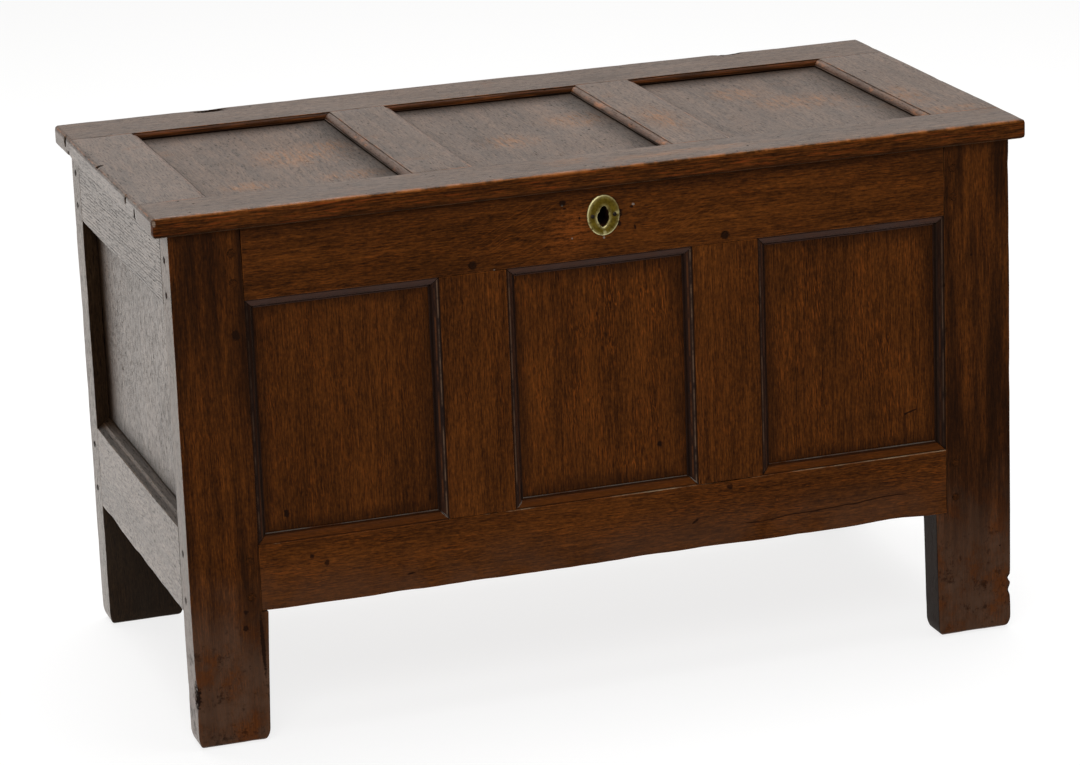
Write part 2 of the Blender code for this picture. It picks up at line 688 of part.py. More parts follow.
def make_lid():
    """Lid frame: two long rails, two ends and two muntins round three flat panels."""
    line = quarter_round_line(LID_MOULDING, LID_RECESS)
    front_arris, back_arris = LID_FRONT + LID_FRONT_RAIL, LID_BACK - LID_BACK_RAIL
    left, right = -LID_HALF_WIDTH + LID_LEFT_END, LID_HALF_WIDTH - LID_RIGHT_END
    centres = LID_MUNTIN_CENTRES
    spans = openings(left, right, centres, LID_MUNTIN)
    front = lid_bar("lid_front_rail", (-LID_HALF_WIDTH, LID_FRONT), (LID_HALF_WIDTH, front_arris))
    back = lid_bar("lid_back_rail", (-LID_HALF_WIDTH, back_arris), (LID_HALF_WIDTH, LID_BACK))
    for span_left, span_right in spans:
        run = span_right - span_left
        front_edge = moulded_strip(line, LID_THICKNESS, (span_left, front_arris), (1, 0), (0, 1), run)
        back_edge = moulded_strip(line, LID_THICKNESS, (span_left, back_arris), (1, 0), (0, -1), run)
        join(front, front_edge, LID)
        join(back, back_edge, LID)
    low, high = front_arris + GAP, back_arris - GAP
    bars = (
        ("lid_left_end", -LID_HALF_WIDTH, left, (1,)),
        ("lid_left_muntin", spans[0][1], spans[1][0], (-1, 1)),
        ("lid_right_muntin", spans[1][1], spans[2][0], (-1, 1)),
        ("lid_right_end", right, LID_HALF_WIDTH, (-1,)),
    )
    cheeks = (LID_RECESS, LID_RECESS + LID_TENON_THICKNESS)
    for name, bar_left, bar_right, moulded_sides in bars:
        bar = lid_bar(name, (bar_left, low), (bar_right, high))
        for side in moulded_sides:
            corner = (bar_right if side > 0 else bar_left, front_arris)
            run = back_arris - front_arris
            join(bar, moulded_strip(line, LID_THICKNESS, corner, (0, 1), (side, 0), run), LID)
        centre = (bar_left + bar_right) / 2
        half = (bar_right - bar_left) / 2 - GROOVE_SHOULDER
        muntin_tenons(bar, front, back, LID, centre, half, low, high, 1, LID_TENON, cheeks)
    inset = LID_MOULDING - GROOVE_DEPTH + GAP
    for (span_left, span_right), place in zip(spans, ("left", "middle", "right")):
        corner_low = (span_left + inset, front_arris + inset)
        corner_high = (span_right - inset, back_arris - inset)
        panel("lid_" + place + "_panel", LID, corner_low, corner_high, LID_RECESS, "lid oak", LID_AXIS)
    return front, back


def make_hinge(side_name, centre, lid_rail):
    """Lid leaf with one knuckle, back leaf with two, and the pin through them."""
    low, high = centre - LEAF_WIDTH / 2, centre + LEAF_WIDTH / 2
    third = LEAF_WIDTH / 3
    middle = (low + third + GAP, high - third - GAP)
    outer = ((low, low + third - GAP), (high - third + GAP, high))
    back_face = HALF_DEPTH - HINGE_Y
    bore = rod((0, 0), PIN_RADIUS + GAP, low - ROOT, high + ROOT)

    lid_leaf_front = back_face - LID_LEAF_LENGTH
    housing = ((lid_leaf_front, -ROOT, low), (back_face + ROOT, LEAF_THICKNESS, high))
    cut(lid_rail, grown_box(*housing, GAP), HINGE)
    leaf = box((lid_leaf_front, 0, low), (back_face, LEAF_THICKNESS, high))
    axis_place = (centre, HINGE_Y, HINGE_Z)
    lid_leaf = part(side_name + "_hinge_lid_leaf", leaf, HINGE, "iron", LID_AXIS, axis_place)
    join(lid_leaf, box((back_face - ROOT, 0, middle[0]), (0, LEAF_THICKNESS, middle[1])), HINGE)
    join(lid_leaf, rod((0, 0), KNUCKLE_RADIUS, *middle), HINGE)
    cut(lid_leaf, bore, HINGE)

    leaf_front = back_face + GAP
    leaf_back = leaf_front + LEAF_THICKNESS
    notch_floor = -KNUCKLE_RADIUS - HINGE_CLEARANCE
    leaf = box((leaf_front, -BACK_LEAF_LENGTH, low), (leaf_back, notch_floor, high))
    back_leaf = part(side_name + "_hinge_back_leaf", leaf, HINGE, "iron", CARCASE)
    for span in outer:
        join(back_leaf, box((leaf_front, notch_floor - ROOT, span[0]), (leaf_back, 0, span[1])), HINGE)
        join(back_leaf, rod((0, 0), KNUCKLE_RADIUS, *span), HINGE)
    cut(back_leaf, rod((0, 0), PIN_RADIUS + GAP, low - ROOT, high + ROOT), HINGE)

    pin = part(side_name + "_hinge_pin", rod((0, 0), PIN_RADIUS, low, high), HINGE, "iron", CARCASE)
    for piece in (lid_leaf, back_leaf, pin):
        shade_round(piece)


def keyhole_outline():
    """Round head over a flared foot, about the keyhole's middle."""
    head_height = KEYHOLE_HEIGHT / 2 - KEYHOLE_TOP_RADIUS
    foot_height = KEYHOLE_FOOT_SAG - KEYHOLE_HEIGHT / 2
    arcs = (
        (0.0, head_height, KEYHOLE_TOP_RADIUS, KEYHOLE_TOP_RADIUS),
        (math.pi, foot_height, KEYHOLE_FOOT_HALF_WIDTH, KEYHOLE_FOOT_SAG),
    )
    half_turn = ROUND_SIDES // 2
    outline = []
    for first_turn, height, half_width, rise in arcs:
        for step in range(half_turn + 1):
            turn = first_turn + math.pi * step / half_turn
            outline.append((half_width * math.cos(turn), height + rise * math.sin(turn)))
    return [(LOCK_X + u, KEYHOLE_Z + v) for u, v in outline]


def make_lock(front_rail, lid_rail):
    """Case let into the inner face of the top rail, its bolt, and the staple under the lid."""
    left, right = LOCK_X - LOCK_WIDTH / 2, LOCK_X + LOCK_WIDTH / 2
    low, high = CARCASE_HEIGHT - LOCK_HEIGHT, CARCASE_HEIGHT
    recess_low = (left - GAP, low - GAP, LOCK_FRONT)
    recess_high = (right + GAP, high + ROOT, RAIL_THICKNESS + ROOT)
    cut(front_rail, box(recess_low, recess_high), FRONT)
    cut(front_rail, plate(keyhole_outline(), -ROOT, LOCK_FRONT + ROOT), FRONT)

    block = box((left, low, LOCK_FRONT + GAP), (right, high, RAIL_THICKNESS))
    case = part("lock_case", block, FRONT, "iron", CARCASE)
    bolt_high = BOLT_LOW + BOLT_HEIGHT
    channel = box(
        (left + LOCK_WALL, BOLT_LOW - GAP, LOCK_FRONT),
        (right - LOCK_WALL, bolt_high + GAP, CHANNEL_BACK),
    )
    chamber = box(
        (LOCK_X - KEY_CHAMBER / 2, low + LOCK_WALL, LOCK_FRONT),
        (LOCK_X + KEY_CHAMBER / 2, BOLT_LOW + ROOT, CHANNEL_BACK),
    )
    slot_half = STAPLE_THICKNESS / 2 + STAPLE_CLEARANCE
    slot = box(
        (STAPLE_X - slot_half, STAPLE_FOOT - STAPLE_CLEARANCE, LOCK_FRONT),
        (STAPLE_X + slot_half, high + ROOT, CHANNEL_BACK),
    )
    for hollow in (channel, chamber, slot):
        cut(case, hollow, FRONT)

    tip = STAPLE_X - STAPLE_THICKNESS / 2 - BOLT_REST_GAP
    neck = tip - BOLT_HEAD
    tail = box((tip - BOLT_LENGTH, BOLT_LOW, LOCK_FRONT + 2 * GAP), (neck, bolt_high, CHANNEL_BACK - GAP))
    bolt = part("lock_bolt", tail, FRONT, "iron", CARCASE)
    head_half = BOLT_HEAD_THICKNESS / 2
    head = box(
        (neck - ROOT, BOLT_LOW + ROOT / 2, CHANNEL_MIDDLE - head_half),
        (tip, bolt_high - ROOT / 2, CHANNEL_MIDDLE + head_half),
    )
    join(bolt, head, FRONT)

    plate_low = (STAPLE_X - STAPLE_PLATE_WIDTH / 2, LID_BOTTOM, CHANNEL_MIDDLE - STAPLE_PLATE_DEPTH / 2)
    plate_high = (
        STAPLE_X + STAPLE_PLATE_WIDTH / 2,
        LID_BOTTOM + STAPLE_PLATE_THICKNESS,
        CHANNEL_MIDDLE + STAPLE_PLATE_DEPTH / 2,
    )
    housing_low = (plate_low[0], plate_low[1] - ROOT, plate_low[2])
    cut(lid_rail, grown_box(housing_low, plate_high, GAP), FRONT)
    staple = part("lid_staple", box(plate_low, plate_high), FRONT, "iron", LID_AXIS)
    half_width, half_thickness = STAPLE_WIDTH / 2, STAPLE_THICKNESS / 2
    loop = box(
        (STAPLE_X - half_thickness, STAPLE_FOOT, CHANNEL_MIDDLE - half_width),
        (STAPLE_X + half_thickness, LID_BOTTOM + ROOT, CHANNEL_MIDDLE + half_width),
    )
    eye_half = half_width - STAPLE_WIRE
    eye = box(
        (STAPLE_X - STAPLE_THICKNESS, STAPLE_FOOT + STAPLE_WIRE, CHANNEL_MIDDLE - eye_half),
        (STAPLE_X + STAPLE_THICKNESS, LID_BOTTOM - STAPLE_BRIDGE, CHANNEL_MIDDLE + eye_half),
    )
    join(staple, loop, FRONT)
    cut(staple, eye, FRONT)


def nail_shape():
    """A domed nail about the depth axis: head in front, shank into the wood."""
    profile = []
    for facet in range(ROUND_FACETS + 1):
        turn = math.pi / 2 * facet / ROUND_FACETS
        profile.append((NAIL_HEAD_RADIUS * math.sin(turn), -NAIL_HEAD_RISE * math.cos(turn)))
    profile += [
        (NAIL_SHANK_RADIUS, 0.0),
        (NAIL_SHANK_RADIUS, NAIL_LENGTH),
        (0.0, NAIL_LENGTH + NAIL_SHANK_RADIUS),
    ]
    bm = bmesh.new()
    verts = [bm.verts.new((radius, 0.0, depth)) for radius, depth in profile]
    edges = [bm.edges.new(pair) for pair in zip(verts, verts[1:])]
    turn = {"cent": (0, 0, 0), "axis": (0, 0, 1), "angle": math.tau, "steps": ROUND_SIDES}
    bmesh.ops.spin(bm, geom=verts + edges, use_merge=True, **turn)
    bmesh.ops.remove_doubles(bm, verts=bm.verts, dist=GAP / 10)
    return bm


def make_escutcheon(front_rail):
    """Oval brass plate with a keyhole and the nails that hold it."""
    back, front = -GAP, -GAP - ESCUTCHEON_THICKNESS
    bm = bmesh.new()
    bmesh.ops.create_cone(
        bm,
        cap_ends=True,
        segments=2 * ROUND_SIDES,
        radius1=ESCUTCHEON_HEIGHT / 2 - ESCUTCHEON_CHAMFER,
        radius2=ESCUTCHEON_HEIGHT / 2,
        depth=ESCUTCHEON_THICKNESS,
    )
    bmesh.ops.scale(bm, vec=(ESCUTCHEON_WIDTH / ESCUTCHEON_HEIGHT, 1, 1), verts=bm.verts)
    bmesh.ops.translate(bm, vec=(LOCK_X, KEYHOLE_Z, (front + back) / 2), verts=bm.verts)
    disc = part("escutcheon", bm, FRONT, "brass", CARCASE)
    cut(disc, plate(keyhole_outline(), front - ROOT, back + ROOT), FRONT)
    shade_round(disc)
    for side, side_name in ((-1, "left"), (1, "right")):
        place = (LOCK_X + side * NAIL_SPREAD, KEYHOLE_Z)
        hole_end = front + NAIL_LENGTH + NAIL_SHANK_RADIUS
        for holed in (disc, front_rail):
            cut(holed, rod(place, NAIL_SHANK_RADIUS + GAP, front - ROOT, hole_end), FRONT)
        shape = nail_shape()
        bmesh.ops.translate(shape, vec=(*place, front - GAP), verts=shape.verts)
        shade_round(part("escutcheon_" + side_name + "_nail", shape, FRONT, "brass", CARCASE))


clear_scene()
PARTS = new_collection("Wooden coffer")
CUTTERS = new_collection("Cutters")
CARCASE = new_empty("carcase", (0, 0, 0))
LID_AXIS = new_empty("lid_axis", (0, HINGE_Y, HINGE_Z))

stiles = make_stiles()
front_top, front_bottom = make_front(stiles)
back_top, back_bottom = make_back(stiles)
left_bottom = make_end("left", LEFT, stiles[-1])
right_bottom = make_end("right", RIGHT, stiles[1])
make_bottom(front_bottom, back_bottom, left_bottom, right_bottom)
lid_front, lid_back = make_lid()
make_hinge("left", -HINGE_X, lid_back)
make_hinge("right", HINGE_X, lid_back)
make_lock(front_top, lid_front)
make_escutcheon(front_top)
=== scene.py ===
import json
import math

import bmesh
import bpy
from mathutils import Matrix, Vector, noise


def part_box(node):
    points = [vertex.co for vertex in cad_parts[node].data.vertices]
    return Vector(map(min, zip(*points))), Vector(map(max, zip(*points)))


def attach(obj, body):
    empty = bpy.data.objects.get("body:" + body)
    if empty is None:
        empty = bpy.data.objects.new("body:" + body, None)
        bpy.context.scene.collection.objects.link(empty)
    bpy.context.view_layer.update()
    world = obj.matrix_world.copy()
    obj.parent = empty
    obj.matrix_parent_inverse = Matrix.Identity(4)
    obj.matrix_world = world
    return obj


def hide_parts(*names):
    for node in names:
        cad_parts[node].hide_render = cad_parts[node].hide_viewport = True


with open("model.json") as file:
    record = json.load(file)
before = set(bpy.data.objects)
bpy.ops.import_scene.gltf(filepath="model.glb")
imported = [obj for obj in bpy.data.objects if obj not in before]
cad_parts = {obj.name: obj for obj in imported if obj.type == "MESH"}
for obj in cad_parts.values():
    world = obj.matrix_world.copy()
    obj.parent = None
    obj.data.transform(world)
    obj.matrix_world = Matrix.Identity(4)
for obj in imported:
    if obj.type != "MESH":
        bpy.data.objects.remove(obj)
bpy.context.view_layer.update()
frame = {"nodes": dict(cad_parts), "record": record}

NODES = frame["nodes"]
BODY_OF = {node: body for body, nodes in frame["record"]["behaviour"]["bodies"].items() for node in nodes}

# Faces and lines of the coffer, in metres
FRONT_Y = -0.267
BACK_Y = 0.267
SIDE_X = 0.540
STILE_Y = 0.224
CARCASE_TOP = 0.6485
SEAM_Z = 0.6487
LID_TOP = 0.6738
LID_X = 0.560
LID_FRONT_Y = -0.277
FLAT_LOW = 0.2520
FLAT_HIGH = 0.5596
SIGHT_LOW = 0.264
SIGHT_HIGH = 0.5475
KEYHOLE_X = 0.0015

# Worn meshes
WELD = 2e-5
FLAT_TURN = math.radians(0.4)
ARRIS_TURN = math.radians(40)
SHARP_TURN = math.radians(34)
ARRIS_WIDTH = 0.0009
SHORTEST_ARRIS = 0.016
NARROWEST_FACE = 0.003
SLICE = 0.016
WAVE_LENGTH = 0.150
WAVE_DEPTH = 0.0006
RIPPLE_LENGTH = 0.045
RIPPLE_DEPTH = 0.00022
RIPPLE_SHIFT = Vector((7, 3, 5))
WEAR_LENGTH = 0.028
WEAR_DEPTH = 0.0011
WEAR_SHIFT = Vector((1, 9, 4))
LEAST_WEAR = 0.15
BOARD_SWELL = 0.0003
FLOOR_BAND = 0.004
SEAM_BAND = 0.0004
WAVE_SEED = 11
noise.seed_set(WAVE_SEED)

# Chips and gouges: middle, radii, way the wood is lost, and depth
CHIPS = (
    ((-0.354, 0.259, 0.6738), (0.027, 0.009, 0.006), (0.0, 0.0, -1.0), 0.0022),
    ((0.366, 0.263, 0.6738), (0.024, 0.007, 0.006), (0.0, 0.0, -1.0), 0.0022),
    ((-0.560, 0.203, 0.6680), (0.005, 0.0070, 0.010), (1.0, 0.0, -0.4), 0.0022),
    ((-0.560, 0.188, 0.6520), (0.005, 0.0090, 0.007), (1.0, 0.0, 0.2), 0.0024),
    ((-0.560, 0.019, 0.6738), (0.012, 0.0050, 0.005), (0.6, 0.0, -0.8), 0.0020),
    ((-0.560, -0.139, 0.6690), (0.004, 0.0055, 0.009), (1.0, 0.0, -0.3), 0.0020),
    ((-0.560, -0.185, 0.6590), (0.008, 0.0036, 0.009), (1.0, 0.0, 0.0), 0.0018),
    ((-0.560, -0.183, 0.6515), (0.009, 0.0090, 0.006), (1.0, 0.0, 0.0), 0.0024),
    ((0.540, -0.267, 0.068), (0.006, 0.010, 0.006), (-1.0, 0.4, 0.0), 0.0035),
    ((0.540, -0.267, 0.052), (0.006, 0.010, 0.009), (-1.0, 0.4, 0.0), 0.0025),
    ((-0.540, -0.267, 0.070), (0.007, 0.012, 0.022), (1.0, 0.4, 0.0), 0.0034),
)
CHIP_SLICES = (-0.9, -0.6, -0.3, 0.0, 0.3, 0.6, 0.9)
CHIP_LENGTH = 0.006

# Feet worn round, the fillet on the end rails, and wavy lower edges: depth and length of each wave
FOOT_HEIGHT = 0.018
FOOT_INSET = 0.0085
FOOT_FLAT = 0.8
FOOT_SLICES = (0.001, 0.003, 0.006, 0.010, 0.014, 0.018)
END_RAILS = ("left_bottom_rail", "right_bottom_rail")
RIDGE_SLICES = (0.2786, 0.2796, 0.2818, 0.2828)
RIDGE_RISE = 0.0016
RIDGE_LEAN = 0.3
WAVY_EDGE_FOOT = 0.168
WAVY_EDGE_TOP = 0.176
WAVY_EDGE_SHIFT = Vector((5, 2, 8))
WAVY_EDGES = {
    "left_bottom_rail": (0.0045, 0.040),
    "right_bottom_rail": (0.0045, 0.040),
    "front_bottom_rail": (0.0040, 0.085),
}

# Pegs through the tenons of the end rails, shown on the outer faces of the stiles
SIDE_PEG_RADIUS = 0.0042
SIDE_PEG_RISE = 0.0006
SIDE_PEG_TAPER = 0.8
SIDE_PEG_Y = {"front": -0.2415, "back": 0.2470}
SIDE_PEG_Z = (0.187, 0.247, 0.5705, 0.6135)


def srgb(red, green, blue):
    """A colour given in 8-bit steps, as linear light."""
    def linear(step):
        share = step / 255
        return share / 12.92 if share <= 0.04045 else ((share + 0.055) / 1.055) ** 2.4
    return (linear(red), linear(green), linear(blue), 1.0)


def linked(name, data):
    """A new object in the scene."""
    obj = bpy.data.objects.new(name, data)
    bpy.context.scene.collection.objects.link(obj)
    return obj


def stand_in(name, mesh):
    """An object that is shown in place of one node and moves with its body."""
    obj = linked(mesh.name, mesh)
    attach(obj, BODY_OF[name])
    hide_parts(name)
    return obj


def worn_mesh(name, bm):
    mesh = bpy.data.meshes.new("worn_" + name)
    bm.to_mesh(mesh)
    bm.free()
    return mesh


def add_stud(bm, matrix, radius, taper, rise, segments):
    """The tapered head of a peg or nail, half of it sunk in the face."""
    bmesh.ops.create_cone(
        bm, cap_ends=True, segments=segments, radius1=radius, radius2=taper * radius, depth=2 * rise,
        matrix=matrix,
    )


# Worn copies of the wooden pieces


def reach(face, edge):
    """How far the face runs from the edge."""
    start = edge.verts[0].co
    along = (edge.verts[1].co - start).normalized()
    return max((vert.co - start).cross(along).length for vert in face.verts)


def is_arris(edge):
    if not edge.is_manifold or not edge.is_convex or edge.calc_length() < SHORTEST_ARRIS:
        return False
    if edge.calc_face_angle() < ARRIS_TURN:
        return False
    return all(reach(face, edge) > NARROWEST_FACE for face in edge.link_faces)


def soften_arrises(bm):
    """Round the long arrises. Gives back the layer that marks their faces."""
    arris = bm.faces.layers.float.new("arris")
    edges = [edge for edge in bm.edges if is_arris(edge)]
    made = bmesh.ops.bevel(
        bm, geom=edges, offset=ARRIS_WIDTH, offset_type="OFFSET", segments=2, profile=0.5, affect="EDGES"
    )
    for face in made["faces"]:
        face[arris] = 1.0
    return arris


def cut_across(bm, axis, where):
    place, normal = [0, 0, 0], [0, 0, 0]
    place[axis], normal[axis] = where, 1
    geometry = bm.verts[:] + bm.edges[:] + bm.faces[:]
    bmesh.ops.bisect_plane(bm, geom=geometry, plane_co=place, plane_no=normal)


def slice_evenly(bm):
    corners = [vert.co for vert in bm.verts]
    for axis in range(3):
        low = min(corner[axis] for corner in corners)
        high = max(corner[axis] for corner in corners)
        count = int((high - low) / SLICE)
        for index in range(1, count + 1):
            cut_across(bm, axis, low + (high - low) * index / (count + 1))


def slice_chips(bm, low, high):
    """Closer cuts where a chip is, so that its shape can show."""
    for middle, radii, _, _ in CHIPS:
        if all(low[axis] - radii[axis] < middle[axis] < high[axis] + radii[axis] for axis in range(3)):
            for axis in range(3):
                for share in CHIP_SLICES:
                    cut_across(bm, axis, middle[axis] + share * radii[axis])


def slice_form(bm, name):
    """Closer cuts where a foot is rounded or a fillet raised."""
    heights = RIDGE_SLICES if name in END_RAILS else ()
    for height in FOOT_SLICES if name.endswith("_stile") else heights:
        cut_across(bm, 2, height)


def warped(point):
    """The point moved by a slow wave that all pieces share, so that joints stay tight.

    Faces on the floor and in the seam under the lid keep their height.
    """
    wave = noise.noise_vector(point / WAVE_LENGTH) * WAVE_DEPTH
    ripple = noise.noise_vector(point / RIPPLE_LENGTH + RIPPLE_SHIFT) * RIPPLE_DEPTH
    moved = point + wave + ripple
    if point.z < FLOOR_BAND or abs(point.z - SEAM_Z) < SEAM_BAND:
        moved.z = point.z
    return moved


def chipped(point):
    """The point after the chips near it have been knocked off."""
    for middle, radii, way, depth in CHIPS:
        apart = Vector((point[axis] - middle[axis]) / radii[axis] for axis in range(3))
        if apart.length < 1:
            ragged = 0.75 + 0.5 * noise.noise(point / CHIP_LENGTH)
            point = point + Vector(way) * depth * ragged * (1 - apart.length_squared)
    return point


def rounded_foot(point, low, high):
    """The point of a stile, drawn in where the foot is worn round at the floor."""
    if point.z > FOOT_HEIGHT:
        return point
    low_share = 1 - point.z / FOOT_HEIGHT
    inset = FOOT_INSET * (1 - math.sqrt(max(0.0, 1 - low_share * low_share)))
    moved = point.copy()
    for axis in (0, 1):
        middle = (low[axis] + high[axis]) / 2
        half = (high[axis] - low[axis]) / 2
        moved[axis] -= inset * max(-1.0, min(1.0, (point[axis] - middle) / (half * FOOT_FLAT)))
    return moved


def wear_down(vert, name, low, high, arris):
    """Move one vertex of a piece to where use and age have left it."""
    place = vert.co.copy()
    vert.co = chipped(warped(place))
    if name.endswith("_stile"):
        vert.co = rounded_foot(vert.co, low, high)
    on_ridge = RIDGE_SLICES[0] < place.z < RIDGE_SLICES[2] + WELD / 2
    if name in END_RAILS and on_ridge and vert.normal.z > RIDGE_LEAN:
        vert.co.x += math.copysign(RIDGE_RISE, place.x)
    if name in WAVY_EDGES and place.z < WAVY_EDGE_TOP:
        depth, length = WAVY_EDGES[name]
        share = (WAVY_EDGE_TOP - place.z) / (WAVY_EDGE_TOP - WAVY_EDGE_FOOT)
        vert.co.z += depth * share * max(0.0, noise.noise(place / length + WAVY_EDGE_SHIFT))
    if name.startswith("bottom_board"):
        vert.co.x += math.copysign(BOARD_SWELL, place.x - (low[0] + high[0]) / 2)
    elif any(face[arris] > 0 for face in vert.link_faces):
        wear = noise.noise(place / WEAR_LENGTH + WEAR_SHIFT) - LEAST_WEAR
        vert.co -= vert.normal * max(0.0, wear) * WEAR_DEPTH


def add_side_pegs(bm, name):
    """Peg ends, a little proud of the outer face of a stile."""
    end, side, _ = name.split("_")
    outward = -1 if side == "left" else 1
    turn = Matrix.Rotation(outward * math.pi / 2, 4, "Y")
    for height in SIDE_PEG_Z:
        place = Matrix.Translation((outward * SIDE_X, SIDE_PEG_Y[end], height))
        add_stud(bm, place @ turn, SIDE_PEG_RADIUS, SIDE_PEG_TAPER, SIDE_PEG_RISE, segments=14)


def worn(name, material):
    """A copy of one wooden piece with softened arrises and the wave of old hand-planed wood."""
    bm = bmesh.new()
    bm.from_mesh(NODES[name].data)
    bmesh.ops.remove_doubles(bm, verts=bm.verts[:], dist=WELD)
    bmesh.ops.dissolve_limit(bm, angle_limit=FLAT_TURN, verts=bm.verts[:], edges=bm.edges[:])
    arris = soften_arrises(bm)
    low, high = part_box(name)
    slice_evenly(bm)
    slice_chips(bm, low, high)
    slice_form(bm, name)
    bm.normal_update()
    for vert in bm.verts:
        wear_down(vert, name, low, high, arris)
    if name.endswith("_stile"):
        add_side_pegs(bm, name)
    for face in bm.faces:
        face.smooth = True
    for edge in bm.edges:
        edge.smooth = not edge.is_manifold or edge.calc_face_angle() < SHARP_TURN
    mesh = worn_mesh(name, bm)
    mesh.materials.append(material)
    obj = stand_in(name, mesh)
    obj.modifiers.new("even shading", "WEIGHTED_NORMAL").keep_sharp = True


# Node trees


class Shade:
    """One node tree. Each call adds a node and gives back its output."""

    def __init__(self, tree):
        self.tree = tree

    def plug(self, socket, value):
        if isinstance(value, bpy.types.NodeSocket):
            self.tree.links.new(value, socket)
        else:
            socket.default_value = value

    def node(self, kind, inputs=None, **settings):
        node = self.tree.nodes.new("ShaderNode" + kind)
        for key, value in settings.items():
            setattr(node, key, value)
        for key, value in (inputs or {}).items():
            self.plug(node.inputs[key], value)
        return node

    def math(self, operation, *values):
        return self.node("Math", dict(enumerate(values)), operation=operation).outputs[0]

    def times(self, first, second):
        return self.math("MULTIPLY", first, second)

    def plus(self, first, second):
        return self.math("ADD", first, second)

    def less(self, first, second):
        return self.math("SUBTRACT", first, second)

    def absolute(self, value):
        return self.math("ABSOLUTE", value)

    def least(self, *values):
        lowest = values[0]
        for value in values[1:]:
            lowest = self.math("MINIMUM", lowest, value)
        return lowest

    def most(self, first, second):
        return self.math("MAXIMUM", first, second)

    def all_of(self, *values):
        product = values[0]
        for value in values[1:]:
            product = self.times(product, value)
        return product

    def swing(self, value, width):
        """How far the value is from a half, times the width."""
        return self.times(self.less(value, 0.5), width)

    def rise(self, value, low, high):
        """0 below low and 1 above high, with a soft change between; falls when low is the greater."""
        node = self.node(
            "MapRange", {0: value, 1: low, 2: high, 3: 0.0, 4: 1.0}, interpolation_type="SMOOTHSTEP"
        )
        return node.outputs[0]

    def band(self, value, start, full, fading, end):
        """1 from full to fading and 0 outside start and end."""
        return self.times(self.rise(value, start, full), self.rise(value, end, fading))

    def near(self, value, middle, far, close):
        """1 where the value is close to the middle and 0 where it is far."""
        return self.rise(self.absolute(self.less(value, middle)), far, close)

    def between(self, value, low, high):
        """A straight change from low at 0 to high at 1."""
        return self.node("MapRange", {0: value, 1: 0.0, 2: 1.0, 3: low, 4: high}).outputs[0]

    def mix(self, share, first, second):
        return self.node("Mix", {0: share, 6: first, 7: second}, data_type="RGBA").outputs[2]

    def ramp(self, value, stops):
        node = self.node("ValToRGB", {0: value})
        ends = node.color_ramp.elements
        while len(ends) < len(stops):
            ends.new(1.0)
        for element, (place, colour) in zip(ends, stops):
            element.position = place
            element.color = colour
        return node.outputs[0]

    def parts(self, vector):
        return self.node("SeparateXYZ", {0: vector}).outputs[:]

    def joined(self, x, y, z):
        return self.node("CombineXYZ", {0: x, 1: y, 2: z}).outputs[0]

    def length(self, vector):
        return self.node("VectorMath", {0: vector}, operation="LENGTH").outputs["Value"]

    def moved(self, vector, step):
        return self.node("VectorMath", {0: vector, 1: step}, operation="ADD").outputs[0]

    def scaled(self, vector, factors, shift=(0, 0, 0)):
        node = self.node("VectorMath", {0: vector, 1: factors, 2: shift}, operation="MULTIPLY_ADD")
        return node.outputs[0]

    def on_face(self, first, second, middle=(0.0, 0.0), turn=0.0, radii=(1.0, 1.0)):
        """Place on one face, from the middle, along turned axes and in radii."""
        node = self.node("Mapping", {
            "Vector": self.joined(first, second, 0.0), "Location": (*middle, 0.0),
            "Rotation": (0.0, 0.0, turn), "Scale": (*radii, 1.0),
        }, vector_type="TEXTURE")
        return node.outputs[0]

    def noise(self, vector, scale=1.0, detail=2.0, roughness=0.5):
        inputs = {"Vector": vector, "Scale": scale, "Detail": detail, "Roughness": roughness}
        return self.node("TexNoise", inputs).outputs[0]

    def long_noise(self, vector, factors, detail=2.0, roughness=0.5, shift=(0, 0, 0)):
        """Noise drawn out by its own factor along each axis."""
        return self.noise(self.scaled(vector, factors, shift), 1.0, detail, roughness)


def tree_of(name):
    material = bpy.data.materials.new(name)
    material.use_nodes = True
    material.node_tree.nodes.clear()
    return material, Shade(material.node_tree)


